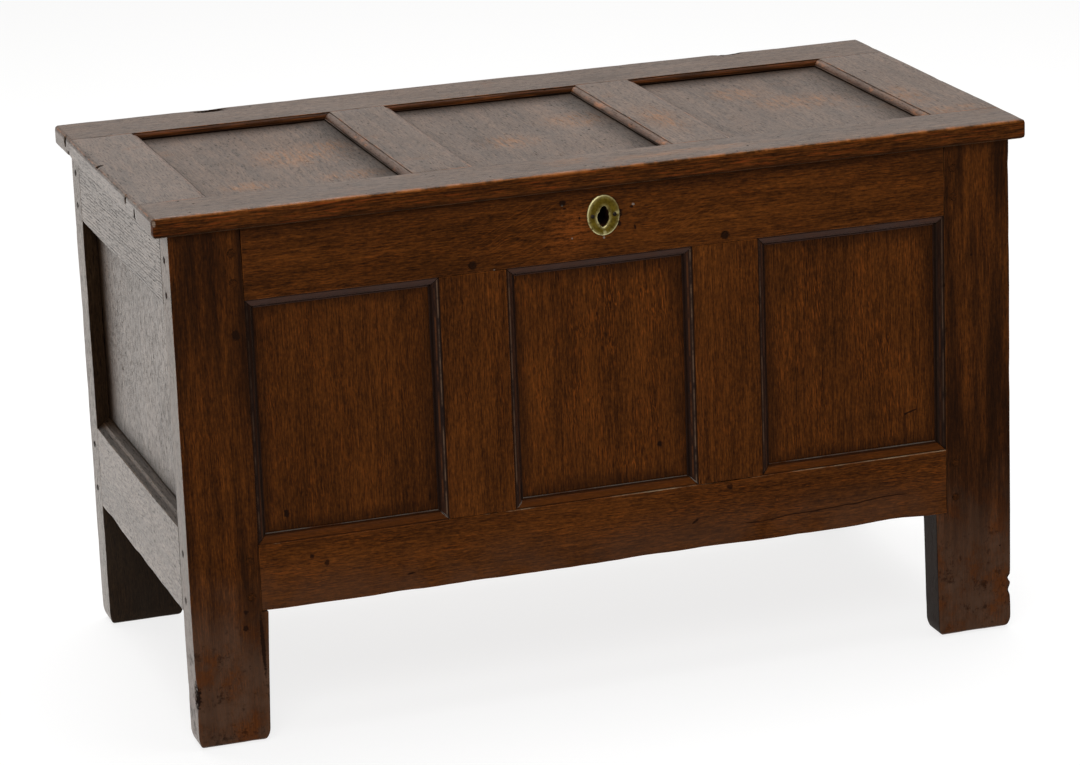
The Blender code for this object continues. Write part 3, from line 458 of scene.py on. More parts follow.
def grain_group():
    """Layers of oak: tone, ray flecks, pores and relief, from coordinates with X along the grain."""
    tree = bpy.data.node_groups.new("oak grain", "ShaderNodeTree")
    tree.interface.new_socket("Grain", in_out="INPUT", socket_type="NodeSocketVector")
    tree.interface.new_socket("Slant", in_out="INPUT", socket_type="NodeSocketFloat")
    for name in ("Tone", "Fleck", "Pore", "Relief"):
        tree.interface.new_socket(name, in_out="OUTPUT", socket_type="NodeSocketFloat")
    shade = Shade(tree)
    start, slant = tree.nodes.new("NodeGroupInput").outputs[:2]
    drift = shade.node("TexNoise", {"Vector": shade.scaled(start, (2.2, 9, 9)), "Scale": 1.0, "Detail": 2.0})
    centred = shade.scaled(drift.outputs[1], (0.0, 0.012, 0.012), (0.0, -0.006, -0.006))
    grain = shade.moved(start, centred)
    broad = shade.long_noise(grain, (2.6, 16, 16))
    streak = shade.long_noise(grain, (6, 150, 150), 4.0, 0.62, (3, 1, 2))
    fibre = shade.long_noise(grain, (45, 780, 780), 2.0, 0.6, (5, 8, 1))
    speckle = shade.long_noise(grain, (170, 430, 430), 2.0, 0.6, (4, 3, 8))
    along, across, deep = shade.parts(grain)
    sway = shade.long_noise(grain, (34, 60, 60), 1.0, shift=(2, 6, 9))
    lean = shade.plus(shade.swing(sway, 0.004), shade.times(along, slant))
    slanted = shade.joined(along, shade.plus(across, lean), shade.plus(deep, lean))
    cell = shade.long_noise(slanted, (46, 1050, 1050), 1.0, shift=(8, 2, 7))
    cluster = shade.long_noise(grain, (8, 26, 26), shift=(1, 4, 4))
    fleck = shade.times(shade.rise(cell, 0.53, 0.72), shade.rise(cluster, 0.38, 0.66))
    vessel = shade.long_noise(grain, (85, 1000, 1000), 1.0, shift=(6, 6, 3))
    pore = shade.rise(vessel, 0.56, 0.70)
    tone = 0.5
    for layer, width in ((broad, 0.24), (speckle, 0.40), (streak, 0.36), (fibre, 0.56)):
        tone = shade.plus(tone, shade.swing(layer, width))
    relief = shade.plus(shade.times(streak, 0.5), shade.times(fibre, 0.5))
    relief = shade.less(relief, shade.times(pore, 0.5))
    end = tree.nodes.new("NodeGroupOutput")
    for socket, value in zip(end.inputs, (tone, fleck, pore, relief)):
        shade.plug(socket, value)
    return tree


GRAIN = grain_group()
GRAIN_SLANT = 0.05
GRAIN_ORDER = {"X": "xyz", "Y": "yzx", "Z": "zxy"}


def tones(*colours):
    """Oak from dark to light."""
    return tuple(zip((0.30, 0.46, 0.58, 0.76), (srgb(*colour) for colour in colours)))


# Kinds of oak: tones from dark to light, flecks, the colour of dirt and of painted shade, wear, pores,
# roughness and relief
OLD_OAK = tones((36, 17, 5), (65, 33, 9), (83, 44, 13), (112, 61, 19))
LID_OAK = tones((34, 20, 9), (56, 34, 15), (74, 47, 22), (100, 66, 34))
SIDE_OAK = tones((38, 24, 13), (62, 42, 25), (80, 57, 36), (106, 79, 52))
DRY_OAK = tones((50, 32, 18), (80, 54, 32), (102, 72, 45), (130, 96, 64))
KINDS = {
    "front": dict(
        tones=OLD_OAK, fleck=srgb(124, 63, 18), fleck_share=0.42, dirt=srgb(24, 15, 11),
        wear=srgb(120, 66, 25), pores=0.40, rough=(0.34, 0.46), bump=0.25,
    ),
    "lid": dict(
        tones=LID_OAK, fleck=srgb(104, 66, 32), fleck_share=0.30, dirt=srgb(20, 14, 10),
        wear=srgb(146, 90, 48), pores=0.75, rough=(0.30, 0.46), bump=0.45,
    ),
    "side": dict(
        tones=SIDE_OAK, fleck=srgb(104, 80, 56), fleck_share=0.25, dirt=srgb(20, 15, 12),
        wear=srgb(120, 96, 74), pores=0.90, rough=(0.28, 0.46), bump=0.60,
    ),
    "back": dict(
        tones=DRY_OAK, fleck=srgb(134, 98, 62), fleck_share=0.3, dirt=srgb(34, 23, 15),
        wear=srgb(130, 96, 64), pores=0.50, rough=(0.55, 0.75), bump=0.5,
    ),
}
FACING_GLOSS = 0.03
GRAZING_GLOSS = 0.55
RELIEF_DEPTH = 0.0006


class Skin:
    """The oak of one piece while it is painted: its colour, roughness, gloss and relief, step by step."""

    def __init__(self, name, kind, axis, seed):
        self.look = KINDS[kind]
        self.material, self.shade = tree_of("oak_" + name)
        shade = self.shade
        self.place = shade.node("TexCoord").outputs["Object"]
        self.x, self.y, self.z = shade.parts(self.place)
        self.coordinate = {"x": self.x, "y": self.y, "z": self.z}
        normal = shade.node("NewGeometry").outputs["Normal"]
        turned = shade.node(
            "VectorTransform", {0: normal}, vector_type="NORMAL", convert_from="WORLD", convert_to="OBJECT"
        )
        self.nx, self.ny, self.nz = shade.parts(turned.outputs[0])
        order = [self.coordinate[letter] for letter in GRAIN_ORDER[axis]]
        shift = (seed * 3.71 % 11, seed * 1.93 % 7, seed * 2.57 % 5)
        grain = shade.scaled(shade.joined(*order), (1, 1, 1), shift)
        layers = shade.node("Group", {0: grain, 1: GRAIN_SLANT}, node_tree=GRAIN)
        self.tone, self.fleck, self.pore, self.relief = layers.outputs[:4]
        self.blotch = shade.noise(self.place, 9.0, 3.0, 0.6)
        self.ragged = shade.less(shade.noise(self.place, 420.0), 0.5)
        self.colour = shade.ramp(self.tone, self.look["tones"])
        self.tint(self.look["fleck"], self.fleck, self.look["fleck_share"])
        self.tint(self.look["dirt"], self.pore, self.look["pores"])
        smooth, coarse = self.look["rough"]
        self.rough = shade.plus(shade.between(self.tone, coarse, smooth), shade.times(self.pore, 0.10))
        facing = shade.node("LayerWeight").outputs["Facing"]
        self.gloss = shade.between(shade.rise(facing, 0.30, 0.70), FACING_GLOSS, GRAZING_GLOSS)
        self.dull(self.pore, 1.0 - 0.8 * self.look["pores"])
        self.darkening = shade.times(shade.rise(self.blotch, 0.55, 0.80), 0.30)

    def tint(self, colour, *shares):
        """Mix in a colour by the product of the shares."""
        self.colour = self.shade.mix(self.shade.all_of(*shares), self.colour, colour)

    def darken(self, *shares):
        """Dirt, dark marks and painted shade by the product of the shares, where the surface isn't darker
        already.
        """
        self.darkening = self.shade.most(self.darkening, self.shade.all_of(*shares))

    def dull(self, mask, factor):
        """Less gloss, by the factor where the mask is 1."""
        self.gloss = self.shade.times(self.gloss, self.shade.between(mask, 1.0, factor))

    def noise(self, factors, detail=2.0, roughness=0.5, shift=(0, 0, 0)):
        return self.shade.long_noise(self.place, factors, detail, roughness, shift)

    def spot(self, axes, middle, radii, turn=0.0, soft=0.5):
        """1 in the middle of a ragged ellipse on one face, 0 outside it."""
        shade = self.shade
        first, second = (self.coordinate[axis] for axis in axes)
        apart = shade.length(shade.on_face(first, second, middle, turn, radii))
        return shade.rise(shade.plus(apart, self.ragged), 1.15, 1.15 - soft)

    def finished(self):
        shade = self.shade
        # The dirt colour, without gloss, over dirt, dark marks and painted shade
        self.tint(self.look["dirt"], self.darkening)
        self.dull(self.darkening, 0.0)
        rough = shade.plus(self.rough, shade.times(self.darkening, 0.12))
        relief = {"Strength": self.look["bump"], "Distance": RELIEF_DEPTH, "Height": self.relief}
        surface = shade.node("BsdfPrincipled", {
            "Base Color": self.colour, "Roughness": rough, "Normal": shade.node("Bump", relief).outputs[0],
            "Specular IOR Level": self.gloss, "IOR": 1.5,
        })
        shade.node("OutputMaterial", {0: surface.outputs[0]})
        return self.material


# Steps of painting: each takes the skin of one piece and its node tree


def worn_arrises(skin, shade):
    arris = shade.node("Attribute", attribute_name="arris").outputs["Fac"]
    patch = shade.rise(shade.noise(skin.place, 34.0), 0.42, 0.62)
    skin.tint(skin.look["wear"], arris, patch, 0.6)


# Where the inside of the chest ends, with a soft change between each two numbers
INSIDE_X = (0.5150, 0.5175)
INSIDE_Y = (0.2475, 0.2500)
INSIDE_FLOOR = (0.196, 0.204)
BELOW_RIM = (0.642, 0.638)


def inner_faces(skin, shade):
    """Bare dry oak inside the chest, and near black painted shade under it and in the returns of the end
    panels.
    """
    sideways = shade.rise(shade.times(skin.x, skin.nx), -0.15, -0.30)
    backward = shade.rise(shade.times(skin.y, skin.ny), -0.08, -0.18)
    above = shade.rise(skin.z, *INSIDE_FLOOR)
    at_face = shade.rise(shade.absolute(skin.y), *INSIDE_Y)
    sideways = shade.times(sideways, shade.less(1.0, shade.times(above, at_face)))
    within = shade.all_of(
        above, shade.rise(shade.absolute(skin.x), *reversed(INSIDE_X)),
        shade.rise(shade.absolute(skin.y), *reversed(INSIDE_Y)),
    )
    sill = shade.times(shade.rise(skin.nz, 0.5, 0.8), shade.rise(skin.z, *BELOW_RIM))
    inward = shade.most(shade.most(sideways, backward), shade.times(sill, within))
    bare = shade.times(inward, within)
    skin.tint(shade.ramp(skin.tone, DRY_OAK), bare)
    # Painted shade, near black, on inward faces outside the chest
    skin.darken(shade.less(inward, bare), shade.between(sideways, 0.70, 0.94))


def board_joints(name):
    """Dirt in the joints between boards."""
    low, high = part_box(name)

    def paint(skin, shade):
        inset = shade.least(shade.less(skin.x, low[0]), shade.less(high[0], skin.x))
        skin.darken(shade.rise(inset, 0.0024, 0.0010), 0.92)
    return paint


def ground_faces(skin, shade):
    """The back of the chest, never polished."""
    skin.tint(shade.ramp(skin.tone, DRY_OAK), shade.rise(skin.y, BACK_Y - 0.0030, BACK_Y - 0.0015))


def lid_underside(skin, shade):
    skin.tint(shade.ramp(skin.tone, DRY_OAK), shade.rise(skin.nz, -0.6, -0.8))


def front_moulding(zone, colour, share, line=0.0):
    """Old wax and painted light in a moulding of the front, with painted shade and a painted highlight in
    lines along it.

    The zone names the coordinate, where the flat ends and which way the moulding goes on.
    """
    coordinate, flat_end, way = zone
    run = (9, 9, 36) if coordinate == "x" else (36, 9, 9)

    def paint(skin, shade):
        value = skin.coordinate[coordinate]
        across = shade.times(shade.less(value, flat_end), way)
        moulded = shade.all_of(
            shade.rise(value, flat_end, flat_end + way * 0.0006),
            shade.rise(skin.y, FRONT_Y + 0.0150, FRONT_Y + 0.0140),
            shade.band(skin.z, FLAT_LOW - 0.0015, FLAT_LOW, FLAT_HIGH - 0.0001, FLAT_HIGH + 0.0014),
        )
        uneven = skin.noise(run, 4.0, 0.65)
        # The colour painted for the light this moulding gets, over old wax
        skin.tint(colour, moulded, shade.between(uneven, 1.35 * share, 0.55 * share))
        # Painted shade in the quirk and the fillet
        quirk = shade.near(across, 0.0008, 0.0012, 0.0004)
        fillet = shade.near(across, 0.0104, 0.0014, 0.0006)
        skin.darken(moulded, shade.most(quirk, fillet), 0.65)
        # A pale painted highlight on the round, and a brown line on the bead
        crest = shade.near(across, 0.0030, 0.0012, 0.0003)
        skin.tint(srgb(116, 92, 72), moulded, crest, shade.rise(uneven, 0.38, 0.60), line)
        bead = shade.near(across, 0.0066, 0.0014, 0.0004)
        skin.tint(srgb(84, 48, 24), moulded, bead, shade.rise(uneven, 0.62, 0.42), 1.4 * line)
    return paint


def pale_lines(skin, shade):
    """Worn wax and dust in pale lines with painted highlights, and a painted floor reflection low on the
    bottom rail.
    """
    along = skin.noise((22, 1, 1), 4.0, 0.65)
    # Wax rubbed off along the arris of the bottom rail, more to the right, with a painted highlight
    worn_and_lit = shade.rise(shade.plus(along, shade.times(skin.x, 0.40)), 0.46, 0.66)
    line = shade.band(skin.z, FLAT_LOW - 0.0008, FLAT_LOW - 0.0003, FLAT_LOW + 0.0001, FLAT_LOW + 0.0006)
    skin.tint(srgb(158, 136, 108), line, worn_and_lit, 0.85)
    # Dust and a painted highlight at the foot of the panels
    foot = shade.times(
        shade.rise(skin.z, SIGHT_LOW - 0.0012, SIGHT_LOW - 0.0006),
        shade.rise(skin.y, FRONT_Y + 0.0140, FRONT_Y + 0.0120),
    )
    skin.tint(srgb(96, 88, 80), foot, shade.rise(along, 0.30, 0.55), 0.9)
    # A painted reflection of the floor, low on the rail
    floor_reflection_haze = shade.times(shade.rise(skin.z, 0.240, 0.176), shade.rise(skin.blotch, 0.30, 0.60))
    skin.tint(srgb(84, 58, 42), floor_reflection_haze, 0.38)


def keyhole_dark(skin, shade):
    """No light in the keyhole."""
    beside = shade.near(skin.x, KEYHOLE_X, 0.014, 0.012)
    behind = shade.rise(skin.y, FRONT_Y + 0.0008, FRONT_Y + 0.0020)
    skin.darken(beside, behind, shade.rise(skin.z, 0.585, 0.590), 0.97)
    skin.darken(skin.spot("xz", (KEYHOLE_X, 0.612), (0.0120, 0.0170)), 0.98)


def around_keyhole(skin, shade):
    """Bare orange wood and flecks aslant of the grain, where hands have been."""
    bare = skin.spot("xz", (-0.034, 0.602), (0.050, 0.036), 0.5, 1.1)
    skin.tint(srgb(140, 72, 26), bare, shade.rise(skin.tone, 0.36, 0.60), 0.45)
    aslant = shade.scaled(shade.on_face(skin.x, skin.z, turn=0.42), (40, 620, 0))
    bend = shade.times(skin.noise((30, 30, 30), 1.0), 5.0)
    cell = shade.noise(shade.moved(aslant, shade.joined(0.0, bend, 0.0)), 1.0, 1.0)
    left = skin.spot("xz", (-0.100, 0.600), (0.110, 0.060), 0.0, 1.1)
    right = skin.spot("xz", (0.110, 0.600), (0.080, 0.050), 0.0, 1.1)
    skin.tint(srgb(128, 68, 24), shade.rise(cell, 0.53, 0.68), shade.most(left, right), 0.34)


def spots(axes, marks, share=0.9):
    """Small dark marks: the middle, radii and any turn of each."""
    def paint(skin, shade):
        for mark in marks:
            skin.darken(skin.spot(axes, *mark), share)
    return paint


def pale_specks(marks):
    """Small pale marks of dust or filler on the front: the middle, radii and any turn of each."""
    def paint(skin, shade):
        for mark in marks:
            skin.tint(srgb(128, 118, 108), skin.spot("xz", *mark), 0.75)
    return paint


def darker(share):
    """Wood that has taken more smoke and wax than its neighbours."""
    def paint(skin, shade):
        skin.darken(shade.between(skin.blotch, 1.5 * share, 0.5 * share))
    return paint


def more_flecks(share):
    def paint(skin, shade):
        skin.tint(srgb(140, 72, 20), skin.fleck, share)
    return paint


def sheen(factor):
    """More or less sheen than the other pieces of its kind."""
    def paint(skin, shade):
        skin.gloss = shade.times(skin.gloss, factor)
    return paint


def long_crack(skin, shade):
    """A shake along the right half of the bottom rail."""
    wander = shade.swing(skin.noise((24, 1, 1), 3.0), 0.008)
    line = shade.plus(shade.plus(0.1858, shade.times(skin.x, 0.042)), wander)
    within = shade.band(skin.x, 0.160, 0.185, 0.385, 0.408)
    skin.darken(shade.near(skin.z, line, 0.0012, 0.0003), within, shade.rise(skin.ny, -0.5, -0.8), 0.85)


def under_lid(skin, shade):
    """A painted shadow just under the lid: less light, so darker, duller wood."""
    height = shade.plus(skin.z, shade.swing(skin.blotch, 0.010))
    skin.darken(shade.rise(height, CARCASE_TOP - 0.0185, CARCASE_TOP), 0.45)


def end_joints(skin, shade):
    """Dark lines where an end rail meets the stiles, and a painted shadow line under the lid."""
    skin.darken(shade.rise(shade.absolute(skin.y), STILE_Y - 0.0022, STILE_Y - 0.0006), 0.85)
    # A painted shadow line under the lid
    skin.darken(shade.rise(skin.z, CARCASE_TOP - 0.0040, CARCASE_TOP - 0.0007), 0.80)


def dark_streaks(skin, shade):
    """Broad dark bands that follow the grain of an upright."""
    streak = skin.noise((30, 30, 2.2), 4.0, 0.65, (3, 2, 6))
    ahead = shade.rise(skin.ny, -0.5, -0.8)
    fading = shade.between(shade.rise(skin.z, 0.06, 0.24), 0.30, 1.0)
    skin.darken(shade.rise(streak, 0.38, 0.64), ahead, fading, 0.80)


def dry_sides(skin, shade):
    """The outer sides of a front stile match the ends."""
    outer = shade.rise(shade.absolute(skin.nx), 0.6, 0.8)
    skin.tint(shade.ramp(skin.tone, SIDE_OAK), outer)
    skin.dull(outer, 0.76)


def hazy_feet(skin, shade):
    """Dull bloom with a painted reflection of the floor, bare patches and dark stains low on a leg."""
    low = shade.rise(shade.plus(skin.z, shade.swing(skin.blotch, 0.16)), 0.250, 0.090)
    cloud = skin.noise((22, 22, 18), 5.0, 0.7, (8, 1, 4))
    # Grey bloom with a painted reflection of the floor
    skin.tint(srgb(84, 62, 48), low, shade.rise(cloud, 0.76, 0.36), 0.85)
    skin.tint(srgb(96, 52, 24), low, shade.rise(cloud, 0.52, 0.66), 0.55)
    stain = skin.noise((46, 46, 40), 6.0, 0.75, (2, 7, 5))
    mottle = skin.noise((150, 150, 130), 4.0, 0.7, (6, 2, 9))
    skin.darken(low, shade.rise(shade.plus(stain, shade.swing(mottle, 0.6)), 0.50, 0.70), 0.70)
    skin.tint(srgb(104, 66, 40), low, shade.rise(mottle, 0.58, 0.70), 0.5)


def grey_dust(skin, shade):
    """Dust on the legs at the back."""
    skin.tint(srgb(84, 78, 70), skin.blotch, shade.rise(skin.z, 0.22, 0.15), 0.7)


def panel_border(axes, low, high, width, share):
    """Dirt and painted shade along the border of a panel whose shown face runs from low to high."""
    def paint(skin, shade):
        first, second = (skin.coordinate[axis] for axis in axes)
        inset = shade.least(
            shade.less(first, low[0]), shade.less(high[0], first),
            shade.less(second, low[1]), shade.less(high[1], second),
        )
        ragged = shade.plus(inset, shade.swing(skin.blotch, 0.020))
        # Dirt and painted shade, darkest at the border
        skin.darken(shade.rise(ragged, width, 0.0), share)
    return paint


def lid_mouldings(skin, shade):
    """A black line of painted shadow in the quirk by each panel, and worn red-brown wood on the rounds."""
    depth = shade.less(LID_TOP, skin.z)
    inside = shade.all_of(
        shade.rise(shade.absolute(skin.x), LID_X - 0.010, LID_X - 0.015),
        shade.rise(skin.y, LID_FRONT_Y + 0.015, LID_FRONT_Y + 0.019),
        shade.rise(skin.y, BACK_Y - 0.005, BACK_Y - 0.009),
    )
    sunk = shade.times(shade.band(depth, 0.0010, 0.0025, 0.0100, 0.0120), inside)
    skin.tint(srgb(74, 42, 20), sunk, 0.5)
    # Painted shadow in the quirk
    skin.darken(shade.rise(depth, 0.0054, 0.0068), inside, shade.rise(depth, 0.0120, 0.0100), 0.95)
    patch = shade.rise(skin.noise((30, 30, 90), 4.0, 0.7, (4, 1, 2)), 0.52, 0.66)
    skin.tint(skin.look["wear"], sunk, patch, 0.6)
    skin.dull(sunk, 0.75)


STREAKED_BROWN = ((0.34, srgb(24, 12, 6)), (0.54, srgb(54, 29, 13)), (0.72, srgb(112, 58, 24)))


def dark_back_moulding(skin, shade):
    """Brown streaks on the moulding of the back rail, which faces away from the light."""
    depth = shade.less(LID_TOP, skin.z)
    face = shade.times(shade.rise(depth, 0.0008, 0.0016), shade.rise(skin.y, 0.1790, 0.1775))
    streak = skin.noise((16, 260, 620), 4.0, 0.65)
    skin.tint(shade.ramp(streak, STREAKED_BROWN), face, 0.92)
    skin.dull(face, 0.12)


def lid_edge(skin, shade):
    """A thin worn orange arris along the front of the lid, over a dark streaked edge, with a painted glint
    at its left corner.
    """
    edge = shade.times(
        shade.rise(skin.y, LID_FRONT_Y + 0.0080, LID_FRONT_Y + 0.0065), shade.rise(skin.nz, 0.60, 0.35)
    )
    along = skin.noise((24, 3, 420), 4.0, 0.65)
    skin.tint(shade.ramp(skin.tone, OLD_OAK), edge)
    skin.darken(edge, shade.rise(along, 0.54, 0.36), 0.55)
    skin.tint(srgb(118, 54, 18), edge, shade.rise(along, 0.52, 0.70), 0.75)
    # Darker towards the lower edge of the front
    skin.darken(edge, shade.rise(skin.z, LID_TOP - 0.0190, LID_TOP - 0.0228), 0.7)
    arris = shade.all_of(
        shade.rise(skin.y, LID_FRONT_Y + 0.0055, LID_FRONT_Y + 0.0042),
        shade.rise(skin.z, LID_TOP - 0.0044, LID_TOP - 0.0026),
        shade.rise(skin.noise((30, 3, 3), 4.0, 0.65, (5, 2, 2)), 0.42, 0.62),
    )
    skin.tint(srgb(156, 92, 42), arris, 0.50)
    # A painted glint at the front left corner of the lid
    skin.tint(srgb(210, 190, 170), skin.spot("xz", (-0.557, 0.668), (0.0022, 0.0040)), 0.35)


def lid_end_face(skin, shade):
    """The ends of the lid are duller than its top, with dirt along a broken arris."""
    skin.dull(shade.rise(shade.absolute(skin.nx), 0.6, 0.9), 0.82)
    broken = skin.noise((60, 44, 60), 5.0, 0.7, (7, 4, 1))
    arris = shade.times(
        shade.rise(shade.absolute(skin.x), LID_X - 0.0028, LID_X - 0.0010),
        shade.rise(skin.z, LID_TOP - 0.0048, LID_TOP - 0.0016),
    )
    skin.darken(arris, shade.rise(broken, 0.47, 0.60), 0.85)


# Where the polish of the lid has gone: the middle and radii of each patch
LID_PATCHES = (
    ((-0.306, -0.012), (0.085, 0.060)), ((-0.262, 0.026), (0.050, 0.045)),
    ((-0.405, -0.140), (0.045, 0.030)), ((-0.275, -0.135), (0.060, 0.028)),
    ((0.070, 0.016), (0.060, 0.050)), ((-0.050, -0.060), (0.050, 0.045)),
    ((0.360, -0.018), (0.080, 0.055)), ((0.300, 0.060), (0.050, 0.045)),
    ((0.482, -0.085), (0.030, 0.080)), ((0.480, -0.180), (0.040, 0.030)),
    ((0.155, -0.060), (0.030, 0.100)), ((0.100, -0.240), (0.160, 0.016)),
)


def lid_wear(name, axis):
    """Patches where the polish has gone, broken up along the grain, cloudy sheen and small dark specks."""
    low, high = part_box(name)
    patches = [
        (middle, radii) for middle, radii in LID_PATCHES
        if low[0] < middle[0] < high[0] and low[1] < middle[1] < high[1]
    ]
    strokes = (40, 240, 240) if axis == "X" else (240, 40, 240)

    def paint(skin, shade):
        top = shade.rise(skin.nz, 0.5, 0.8)
        ragged = skin.noise(strokes, 4.0, 0.7, (2, 5, 1))
        patch = shade.rise(skin.noise((12, 14, 8), 4.0, 0.7, (2, 5, 1)), 0.58, 0.78)
        for middle, radii in patches:
            patch = shade.most(patch, skin.spot("xy", middle, radii, 0.0, 1.0))
        broken = shade.rise(shade.plus(ragged, shade.swing(skin.tone, 0.6)), 0.36, 0.72)
        worn_off = shade.all_of(top, patch, broken)
        skin.tint(srgb(136, 92, 54), worn_off, 0.66)
        skin.rough = shade.plus(skin.rough, shade.times(worn_off, 0.16))
        speck = shade.rise(skin.noise((150, 150, 150), shift=(3, 3, 3)), 0.68, 0.74)
        skin.darken(top, speck, 0.9)
        cloud = skin.noise((7, 7, 7), 4.0, 0.65, (6, 3, 2))
        cloudy = shade.times(shade.between(cloud, 0.52, 1.58), shade.between(skin.tone, 0.30, 1.78))
        skin.gloss = shade.times(skin.gloss, cloudy)
        skin.dull(worn_off, 0.85)
    return paint


def chip_marks(skin, shade):
    """Bare dark wood where chips are lost, with dirt and painted shade in the hollows."""
    for middle, radii, _, _ in CHIPS:
        scale = tuple(1 / radius for radius in radii)
        shift = tuple(-place / radius for place, radius in zip(middle, radii))
        apart = shade.length(shade.scaled(skin.place, scale, shift))
        ragged = shade.plus(apart, shade.swing(shade.noise(skin.place, 260.0), 1.2))
        hole = shade.rise(ragged, 0.95, 0.60)
        skin.darken(hole, 0.95)
        skin.dull(hole, 0.1)


def saw_marks(skin, shade):
    """Fine lines left by the saw, close together along the rail."""
    sway = skin.noise((4, 6, 30), 3.0, 0.6)
    phase = shade.plus(shade.times(skin.z, 1450.0), shade.times(skin.y, 40.0))
    kerf = shade.rise(shade.math("SINE", shade.plus(phase, shade.times(sway, 11.0))), 0.15, 0.95)
    uneven = skin.noise((30, 24, 200), 3.0, 0.6, (1, 4, 6))
    cut = shade.times(kerf, shade.rise(uneven, 0.34, 0.60))
    skin.darken(cut, 0.55)
    skin.relief = shade.less(skin.relief, shade.times(cut, 0.9))


def pitted(skin, shade):
    """Short dark ticks and dents, thick on an old dry face."""
    tick = skin.noise((300, 300, 150), 3.0, 0.7, (4, 9, 2))
    where = shade.between(shade.rise(skin.blotch, 0.35, 0.62), 0.35, 1.0)
    outer = shade.rise(shade.absolute(skin.nx), 0.6, 0.9)
    pit = shade.all_of(shade.rise(tick, 0.55, 0.65), where, outer)
    skin.darken(pit, 0.66)
    skin.relief = shade.less(skin.relief, pit)


def end_moulding(skin, shade):
    """The two facets of the splayed moulding darker, the upper one by the panel in painted shade, with a
    pale fillet between.
    """
    lower = shade.band(skin.z, 0.2748, 0.2756, 0.2790, 0.2798)
    upper = shade.rise(skin.z, 0.2820, 0.2830)
    streak = skin.noise((200, 9, 500), 3.0, 0.6)
    skin.darken(shade.most(lower, upper), shade.between(streak, 0.20, 0.85))


def peg_end(skin, shade):
    """Dark end grain."""
    skin.darken(shade.between(skin.tone, 0.80, 0.30))


def black_peg(skin, shade):
    """An end grain black with wax."""
    skin.darken(shade.between(skin.tone, 1.0, 0.7))


# Marks seen in the photograph: middle, radii and any turn of each
LEFT_STILE_MARKS = (
    ((-0.4641, 0.5183), (0.0060, 0.0085), 0.4), ((-0.4724, 0.1701), (0.0040, 0.0036)),
    ((-0.4736, 0.1497), (0.0042, 0.0045)), ((-0.4535, 0.1280), (0.0030, 0.0480), 0.03),
)
RIGHT_STILE_MARKS = (
    ((0.488, 0.505), (0.0016, 0.0020)), ((0.451, 0.469), (0.0016, 0.0030)),
    ((0.525, 0.114), (0.0014, 0.0014)),
)
TOP_RAIL_MARKS = (
    ((0.0218, 0.5994), (0.0030, 0.0036)), ((0.0422, 0.5932), (0.0016, 0.0034), 0.3),
    ((0.0385, 0.6190), (0.0028, 0.0020)), ((-0.0500, 0.6330), (0.0050, 0.0040)),
    ((-0.0475, 0.6260), (0.0026, 0.0012)), ((0.0225, 0.6130), (0.0040, 0.0060)),
    ((-0.0290, 0.6120), (0.0012, 0.0020)),
)
TOP_RAIL_SPECKS = (
    ((0.0406, 0.6215), (0.0018, 0.0018)), ((0.0019, 0.5841), (0.0016, 0.0016)),
    ((-0.0392, 0.5877), (0.0012, 0.0012)), ((-0.0504, 0.6302), (0.0014, 0.0014)),
    ((-0.1399, 0.5595), (0.0014, 0.0014)),
)
BOTTOM_RAIL_MARKS = (
    ((-0.3862, 0.2295), (0.0034, 0.0030)), ((-0.3678, 0.2191), (0.0034, 0.0036)),
    ((0.157, 0.244), (0.0044, 0.0040)), ((-0.262, 0.190), (0.0060, 0.0014), 0.1),
    ((0.110, 0.205), (0.0060, 0.0016), 0.6),
)
MITRE_LINES = (
    ((-0.2150, 0.2580), (0.0085, 0.0009), -math.pi / 4), ((-0.1180, 0.2580), (0.0070, 0.0007), math.pi / 4),
    ((0.1102, 0.2580), (0.0075, 0.0008), -math.pi / 4),
)
PANEL_MARKS = {
    "left": [((-0.412, 0.285), (0.0040, 0.0060), 0.2)],
    "middle": [((0.0691, 0.309), (0.0034, 0.0040))],
    "right": [((0.4077, 0.3069), (0.0095, 0.0012), 0.26), ((0.401, 0.3046), (0.0030, 0.0016), 0.2)],
}
END_RAIL_CRACK = [((-0.0045, 0.5925), (0.0010, 0.0230), 0.28)]

# Pegs of the front, and the dark rings round pegs
PEG_RING = (0.0060, 0.0060)
SIDE_PEG_RING = (0.0052, 0.0056)
CORNER_PEG_X = 0.464
CORNER_PEG_Z = (0.188, 0.234, 0.5825, 0.6195)
MUNTIN_PEG_Z = 0.569

# Middles of the muntins, where flats end, and the shown faces of panels
MUNTINS = {"front_left_muntin": -0.16686, "front_right_muntin": 0.15876}
MUNTIN_HALF = 0.0425
STILE_FLAT_X = 0.452
FRONT_SIGHTS = {"left": (-0.440, -0.221), "middle": (-0.112, 0.104), "right": (0.213, 0.440)}
LID_SIGHTS = {"left": (-0.498, -0.226), "middle": (-0.163, 0.110), "right": (0.173, 0.455)}
LID_SIGHT_Y = (-0.218, 0.167)
END_SIGHT = ((-0.244, 0.277), (0.224, 0.5645))

# Colours for the front mouldings by the way they face: a grey painted reflection of the floor under the top
# rail, painted shade over dark wax at the sides, and painted lit brown on the bottom rail
PAINTED_FLOOR_SHEEN = srgb(62, 48, 44)
DARK_WAX_AND_SHADE = srgb(30, 24, 23)
PAINTED_LIT_BROWN = srgb(76, 40, 15)
FLECK_SHARES = {"left": 0.10, "middle": 0.45, "right": 0.30}
DARK_SHARES = {"left": 0.14, "middle": 0.02, "right": 0.02}
FRAME_STEPS = (inner_faces, worn_arrises)


def peg_rings(places):
    return spots("xz", [(place, PEG_RING) for place in places], 0.75)


def side_peg_rings(end):
    return spots("yz", [((SIDE_PEG_Y[end], height), SIDE_PEG_RING) for height in SIDE_PEG_Z], 0.85)


def lid_steps(name):
    axis = "X" if name.endswith("_rail") else "Y"
    return (
        lid_wear(name, axis), lid_mouldings, lid_edge, lid_end_face, lid_underside, worn_arrises, chip_marks,
    )


